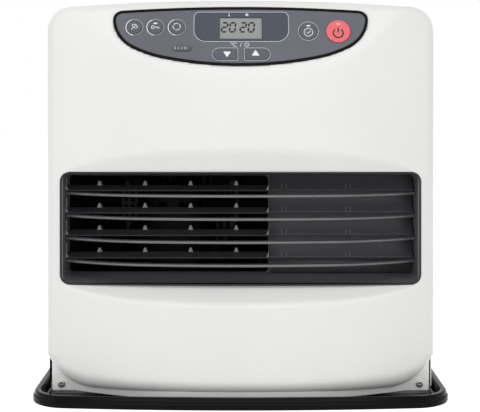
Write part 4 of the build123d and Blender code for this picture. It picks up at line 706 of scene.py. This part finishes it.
def finish(name, colour, shade, grain_mm, roughness, spread=0.05, bump_mm=0.0, stretch=(1, 1, 1), detail=3.0,
           **shader):
    """A material of two near colours in a grain of a real size, with the grain in its roughness and bump. The
    share of the lighter colour is the grain times a slow drift over about 100 mm."""
    material = bpy.data.materials.new(name)
    material.use_nodes = True
    tree = material.node_tree
    tree.nodes.clear()
    place = add_node(tree, "ShaderNodeTexCoord").outputs["Object"]
    scale = add_node(tree, "ShaderNodeMapping", {"Vector": place, "Scale": stretch}).outputs["Vector"]
    grain = add_node(tree, "ShaderNodeTexNoise", {"Vector": scale, "Scale": 1 / (grain_mm * MM), "Detail": detail})
    drift = add_node(tree, "ShaderNodeTexNoise", {"Vector": place, "Scale": 9.0, "Detail": 2.0})
    both = add_node(tree, "ShaderNodeMath", {0: grain.outputs["Fac"], 1: drift.outputs["Fac"]}, operation="MULTIPLY")
    share = add_node(tree, "ShaderNodeMapRange", {"Value": both.outputs[0], "From Min": 0.12, "From Max": 0.40})
    mix = add_node(tree, "ShaderNodeMix", {"Factor": share.outputs[0]}, data_type="RGBA")
    for entry in mix.inputs:
        if entry.type == "RGBA":
            entry.default_value = linear(shade if entry.name == "A" else colour)
    rough = add_node(tree, "ShaderNodeMapRange", {"Value": grain.outputs["Fac"], "From Min": 0.3, "From Max": 0.7,
                                                  "To Min": roughness - spread, "To Max": roughness + spread})
    coloured = [out for out in mix.outputs if out.type == "RGBA"][0]
    inputs = {"Base Color": coloured, "Roughness": rough.outputs[0]}
    if bump_mm:
        bump = add_node(tree, "ShaderNodeBump", {"Height": grain.outputs["Fac"], "Distance": bump_mm * MM,
                                                 "Strength": 1.0})
        inputs["Normal"] = bump.outputs[0]
    inputs.update({label.replace("_", " "): value for label, value in shader.items()})
    principled = add_node(tree, "ShaderNodeBsdfPrincipled", inputs)
    add_node(tree, "ShaderNodeOutputMaterial", {"Surface": principled.outputs[0]})
    return material


# Stoved enamel on steel: semi-gloss white with a faint orange peel of about 1.5 mm
white_enamel = finish("stoved white enamel", "#EDEDEB", "#E9E9E8", 1.6, 0.36, 0.03, 0.012, Specular_IOR_Level=0.4)
# Gloss enamel: deep black with sharp highlights and a very light ripple
black_enamel = finish("black gloss enamel", "#060607", "#040404", 6.0, 0.14, 0.03, 0.01, Specular_IOR_Level=0.08)
# Heat resistant paint: satin charcoal with a fine powder grain, painted lighter than the real paint as painted light on
# the outlet's lip
heatproof = finish("charcoal heatproof paint, lightened as painted light", "#636367", "#59595D", 0.5, 0.4, 0.06, 0.02, Specular_IOR_Level=0.5)
# The same paint on the bars, glossier, so that they draw a light line, and lighter than the real paint as painted
# highlight
bar_paint_painted_highlight = finish("glossier paint of the bars, lighter as painted highlight", "#545456", "#4A4A4D", 0.8, 0.3, 0.04, 0.01, Specular_IOR_Level=0.9)
# The same paint on the slats, flatter, and darker as painted shade so that their front edges draw no light line
slat_paint_painted_shade = finish("slat paint darkened as painted shade", "#37373A", "#2E2E31", 0.6, 0.6, 0.06, 0.02, Specular_IOR_Level=0.2)
# The same paint on the closed sections, smooth and even, darker than the frame's lightened copy; on the sheet under the
# lowest slat it is painted shade
closed_paint = finish("charcoal paint of the closed half", "#454548", "#3E3E41", 0.8, 0.5, 0.05, 0.01,
                      Specular_IOR_Level=0.35)
# Pale satin grey: painted highlight on the tabs, the slats' ends, the window's edge strip and the lances, where light
# catches them
pale_painted_highlight = finish("pale grey painted highlight", "#949494", "#7C7C7C", 0.5, 0.45, 0.06, Specular_IOR_Level=0.4)
# Matt black paint behind the outlet, sooted by heat; the same black is also painted shade on the casing's faces seen
# through the outlet
soot_and_painted_shade = finish("sooted heatproof paint", "#0C0C0D", "#070707", 2.5, 0.75, 0.06, 0.02, Specular_IOR_Level=0.15)
# Fine spark eroded texture of moulded ABS, blue grey
fascia_plastic = finish("blue grey moulded ABS", "#6A6B73", "#616269", 0.35, 0.5, 0.05, 0.008, Specular_IOR_Level=0.25)
# Gloss black moulded ABS round the control panel
bezel_plastic = finish("gloss black ABS", "#050506", "#030304", 3.0, 0.3, 0.04, 0.004, Specular_IOR_Level=0.08)
# Back printed acrylic: smooth, dark blue grey
window_plastic = finish("smoked display window", "#484D57", "#444953", 9.0, 0.3, 0.02, Specular_IOR_Level=0.2)
# Liquid crystal display behind thin glass: flat greenish grey
lcd_glass = finish("liquid crystal display", "#999B9B", "#919393", 0.4, 0.4, 0.04, Specular_IOR_Level=0.2)
# Satin moulded buttons, a little darker and smoother than the fascia
button_plastic = finish("satin grey button", "#5E6068", "#54565E", 0.3, 0.42, 0.04, 0.004, Specular_IOR_Level=0.25)
# Coral red moulded button with a soft shine
red_plastic = finish("coral red button", "#E5696F", "#DD585F", 2.0, 0.32, 0.04, 0.004, Specular_IOR_Level=0.45)
# Bright zinc plating with a faint drift of tint
zinc = finish("bright zinc plating", "#C9C6C0", "#A8A6A2", 0.6, 0.25, 0.06, 0.006, Metallic=1.0)
# Galvanised sheet: grey with the spangle of zinc crystals about 8 mm across
galvanised = finish("galvanised sheet", "#A9ADB0", "#8E9296", 8.0, 0.42, 0.09, 0.01, detail=6.0, Metallic=0.9)
# Stainless steel darkened by heat and further darkened as painted shade of the heater's inside, with a drawn grain
# round it
heat_and_shade_darkened_steel = finish("stainless steel darkened by heat and painted shade", "#4A423A", "#2E2A27", 0.8, 0.45, 0.08, 0.01,
                    stretch=(1, 1, 0.05), Metallic=0.9)
# Cast iron burner: rough dark grey with a sand cast grain
cast_iron = finish("cast iron", "#3C3A38", "#2A2927", 1.4, 0.7, 0.08, 0.12, Metallic=0.6)
# Moulded black polypropylene with a fine leather-like texture
black_plastic = finish("black moulded plastic", "#1B1B1D", "#141416", 0.8, 0.5, 0.05, 0.02, Specular_IOR_Level=0.4)
# White moulded polypropylene, slightly warm
white_plastic = finish("white moulded plastic", "#E2E1DC", "#DAD9D4", 0.8, 0.45, 0.05, 0.01, Specular_IOR_Level=0.4)
# Painted motor case: dark grey, half gloss
motor_paint = finish("motor case paint", "#3B3E42", "#33363A", 1.0, 0.4, 0.05, 0.01, Specular_IOR_Level=0.4)
# Drawn copper pipe, dulled to brown in patches
copper = finish("drawn copper", "#B56F45", "#8A5232", 3.0, 0.35, 0.08, 0.01, Metallic=1.0)
# Plated brass pump body
pump_brass = finish("plated brass", "#B9A36A", "#9C8856", 1.5, 0.35, 0.07, 0.01, Metallic=1.0)
# White glazed ceramic of the igniter
ceramic = finish("glazed ceramic", "#E4DED2", "#D9D2C5", 2.0, 0.3, 0.05, 0.01, Specular_IOR_Level=0.5)
# Grey painted steel can with a light orange peel
tank_paint = finish("grey painted steel", "#A9ABAE", "#9DA0A3", 1.6, 0.4, 0.05, 0.015, Specular_IOR_Level=0.4)
# Red moulded cap
cap_plastic = finish("red moulded cap", "#B23A2E", "#9E3026", 1.0, 0.42, 0.05, 0.015, Specular_IOR_Level=0.4)
# Varnished transformer core and winding
varnished_iron = finish("varnished iron", "#4B3A2E", "#33291F", 0.7, 0.4, 0.08, 0.03, stretch=(1, 1, 6), Metallic=0.3)
# Polyester filter cloth, near black
filter_cloth = finish("black filter cloth", "#16171A", "#0E0F11", 0.9, 0.8, 0.05, 0.15, Specular_IOR_Level=0.2)
# Screen printed light grey ink
light_ink = finish("light grey ink", "#DADBDE", "#CDCED2", 0.4, 0.55, 0.04, Specular_IOR_Level=0.3)
# Clear white light guide, brighter than the ink; the same white is also painted highlight on the rims of five buttons
light_guide_and_highlight = finish("white light guide and painted highlight", "#F0F1F2", "#E2E4E6", 0.6, 0.35, 0.04, Specular_IOR_Level=0.4)
# Beige light guide of the power lamp
warm_guide = finish("beige light guide", "#E9B7A4", "#DFA996", 0.6, 0.35, 0.04, Specular_IOR_Level=0.4)
# Dark maroon and black printing
dark_ink = finish("dark printing ink", "#231A1D", "#1A1316", 0.4, 0.5, 0.04, Specular_IOR_Level=0.3)


def circuit_board():
    """Green solder mask with a square raster of paler tracks every 5 mm, and a fine grain."""
    material = finish("green circuit board", "#1F5C37", "#17492B", 1.2, 0.38, 0.05, 0.02)
    tree = material.node_tree
    place = [entry for entry in tree.nodes if entry.bl_idname == "ShaderNodeTexCoord"][0].outputs["Object"]
    tracks = add_node(tree, "ShaderNodeTexBrick", {
        "Vector": place, "Scale": 1.0, "Brick Width": 5 * MM, "Row Height": 2.5 * MM, "Mortar Size": 0.3 * MM,
        "Color1": linear("#1F5C37"), "Color2": linear("#1B5231"), "Mortar": linear("#4E8C5E")})
    shader = [entry for entry in tree.nodes if entry.bl_idname == "ShaderNodeBsdfPrincipled"][0]
    tree.links.new(tracks.outputs["Color"], shader.inputs["Base Color"])
    return material


board_green = circuit_board()

SLOT_FINISHES = {
    "white_enamel": white_enamel, "black_enamel": black_enamel, "dark_heatproof_paint": heatproof,
    "sooted_paint": soot_and_painted_shade, "grey_fascia": fascia_plastic, "black_bezel": bezel_plastic,
    "smoked_window": window_plastic, "lcd": lcd_glass, "grey_button": button_plastic, "red_button": red_plastic,
    "zinc_screw": zinc, "galvanised_steel": galvanised, "stainless_steel": heat_and_shade_darkened_steel, "cast_burner": cast_iron,
    "black_plastic": black_plastic, "filter_net": filter_cloth, "white_plastic": white_plastic,
    "motor_case": motor_paint, "copper_pipe": copper, "brass_pump": pump_brass,
    "circuit_board": board_green, "ceramic": ceramic, "tank_steel": tank_paint, "red_cap": cap_plastic,
    "transformer_iron": varnished_iron,
}
for part in frame["record"]["subparts"]:
    target = nodes[part["node"]]
    target.data.materials.clear()
    target.data.materials.append(SLOT_FINISHES[part["material_slot"]])
# The slats and bars have the frame's paint in finishes of their own: lighter on the bars as painted highlight, darker
# on the slats as painted shade
for row in range(1, 5):
    for name, paint in ((f"outlet_slat_{row}", slat_paint_painted_shade), (f"louvre_bar_{row}", bar_paint_painted_highlight)):
        nodes[name].data.materials.clear()
        nodes[name].data.materials.append(paint)
# The faces of the casing that are seen through the open half of the outlet are painted black as painted shade of the
# heater's dark inside
for name, towards in (("rear_panel", (0, -1, 0)), ("left_side_panel", (0.8, -0.6, 0))):
    mesh = nodes[name].data
    mesh.materials.append(soot_and_painted_shade)
    normals = np.zeros(len(mesh.polygons) * 3)
    mesh.polygons.foreach_get("normal", normals)
    painted_shade_faces = normals.reshape(-1, 3) @ towards > 0.5
    mesh.polygons.foreach_set("material_index", painted_shade_faces.astype(np.int32))

front_panel(white_enamel)
outlet_throat(black_plastic)
drip_tray(black_enamel)
control_printing(light_ink, dark_ink, warm_guide, light_guide_and_highlight)
# The tabs, slat ends and window edge strip are pale grey as painted highlight
slat_details(pale_painted_highlight)
closed_sections(closed_paint)
# The lances are pale grey as painted highlight
plate_lances(pale_painted_highlight)
filter_net(filter_cloth)


def seen_directly(tree):
    """One for rays of the camera, of gloss and through glass, and zero for the rays that carry light."""
    path = add_node(tree, "ShaderNodeLightPath")
    seen = add_node(tree, "ShaderNodeMath", {0: path.outputs["Is Camera Ray"], 1: path.outputs["Is Glossy Ray"]},
                    operation="MAXIMUM")
    seen = add_node(tree, "ShaderNodeMath", {0: seen.outputs[0], 1: path.outputs["Is Transmission Ray"]},
                    operation="MAXIMUM")
    return seen.outputs[0]


def studio_white(name, seen_glow, bounce_glow):
    """White paper: a pale diffuse surface that glows, much for what is seen directly and a little for the rest."""
    material = bpy.data.materials.new(name)
    material.use_nodes = True
    tree = material.node_tree
    tree.nodes.clear()
    seen = seen_directly(tree)
    pale = add_node(tree, "ShaderNodeBsdfDiffuse", {"Color": linear("#E4E4E4")})
    bounce, lit = (
        add_node(tree, "ShaderNodeAddShader", {
            0: add_node(tree, "ShaderNodeEmission", {"Color": (1, 1, 1, 1), "Strength": glow}).outputs[0],
            1: pale.outputs[0]})
        for glow in (bounce_glow, seen_glow))
    mixed = add_node(tree, "ShaderNodeMixShader", {0: seen, 1: bounce.outputs[0], 2: lit.outputs[0]})
    add_node(tree, "ShaderNodeOutputMaterial", {"Surface": mixed.outputs[0]})
    return material


def stage_plane(name, corners, material):
    """A flat rectangle of the studio from its four corners in metres."""
    mesh = bpy.data.meshes.new(name)
    mesh.from_pydata(corners, [], [(0, 1, 2, 3)])
    mesh.materials.append(material)
    plane = bpy.data.objects.new(name, mesh)
    bpy.context.scene.collection.objects.link(plane)


stage_plane("studio_floor", [(-8, -8, 0), (8, -8, 0), (8, 8, 0), (-8, 8, 0)], studio_white("floor paper", 0.8, 0.06))


def soft_lamp(name, place, target, size, power):
    """A square soft box of a size in metres and a power in watts that faces a target."""
    lamp = bpy.data.lights.new(name, "AREA")
    lamp.shape = "SQUARE"
    lamp.size = size
    lamp.energy = power
    lamp.spread = pi
    thing = bpy.data.objects.new(name, lamp)
    thing.location = place
    towards = np.array(target, float) - np.array(place, float)
    flat = np.hypot(towards[0], towards[1])
    thing.rotation_euler = (np.arctan2(flat, -towards[2]), 0, np.arctan2(towards[1], towards[0]) - pi / 2)
    bpy.context.scene.collection.objects.link(thing)


# Soft boxes on both sides, one high in front for the leaning face and one low in front for the foot
soft_lamp("key_box", (-2.2, -1.2, 0.9), (0, 0, 0.2), 1.6, 9)
soft_lamp("fill_box", (2.2, -1.2, 0.9), (0, 0, 0.2), 1.6, 6)
soft_lamp("high_box", (0, -1.9, 2.1), (0, 0, 0.1), 1.8, 12)
soft_lamp("low_box", (0, -2.8, 0.6), (0, 0, 0.1), 1.8, 14)

# The room is white where it is seen and a little dimmer where it gives light
world = bpy.data.worlds.new("studio light")
bpy.context.scene.world = world
world.use_nodes = True
sky = world.node_tree
sky.nodes.clear()
level = add_node(sky, "ShaderNodeMapRange", {"Value": seen_directly(sky), "To Min": 0.58, "To Max": 1.0})
white = add_node(sky, "ShaderNodeBackground", {"Color": (1, 1, 1, 1), "Strength": level.outputs[0]})
add_node(sky, "ShaderNodeOutputWorld", {"Surface": white.outputs[0]})

# The camera of the photograph: level, 1.2 m in front of the tray at a height of 335 mm, with its picture shifted
PICTURE_WIDTH = 480
camera_data = bpy.data.cameras.new("camera")
camera_data.sensor_width = 36.0
camera_data.lens = 85.17
camera_data.shift_x = -0.5 / PICTURE_WIDTH
camera_data.shift_y = -112 / PICTURE_WIDTH
camera = bpy.data.objects.new("camera", camera_data)
camera.location = (0.0, -1.3625, 0.335)
camera.rotation_euler = (pi / 2, 0.0, 0.0)
bpy.context.scene.collection.objects.link(camera)
bpy.context.scene.camera = camera
bpy.context.scene.view_settings.view_transform = "Standard"
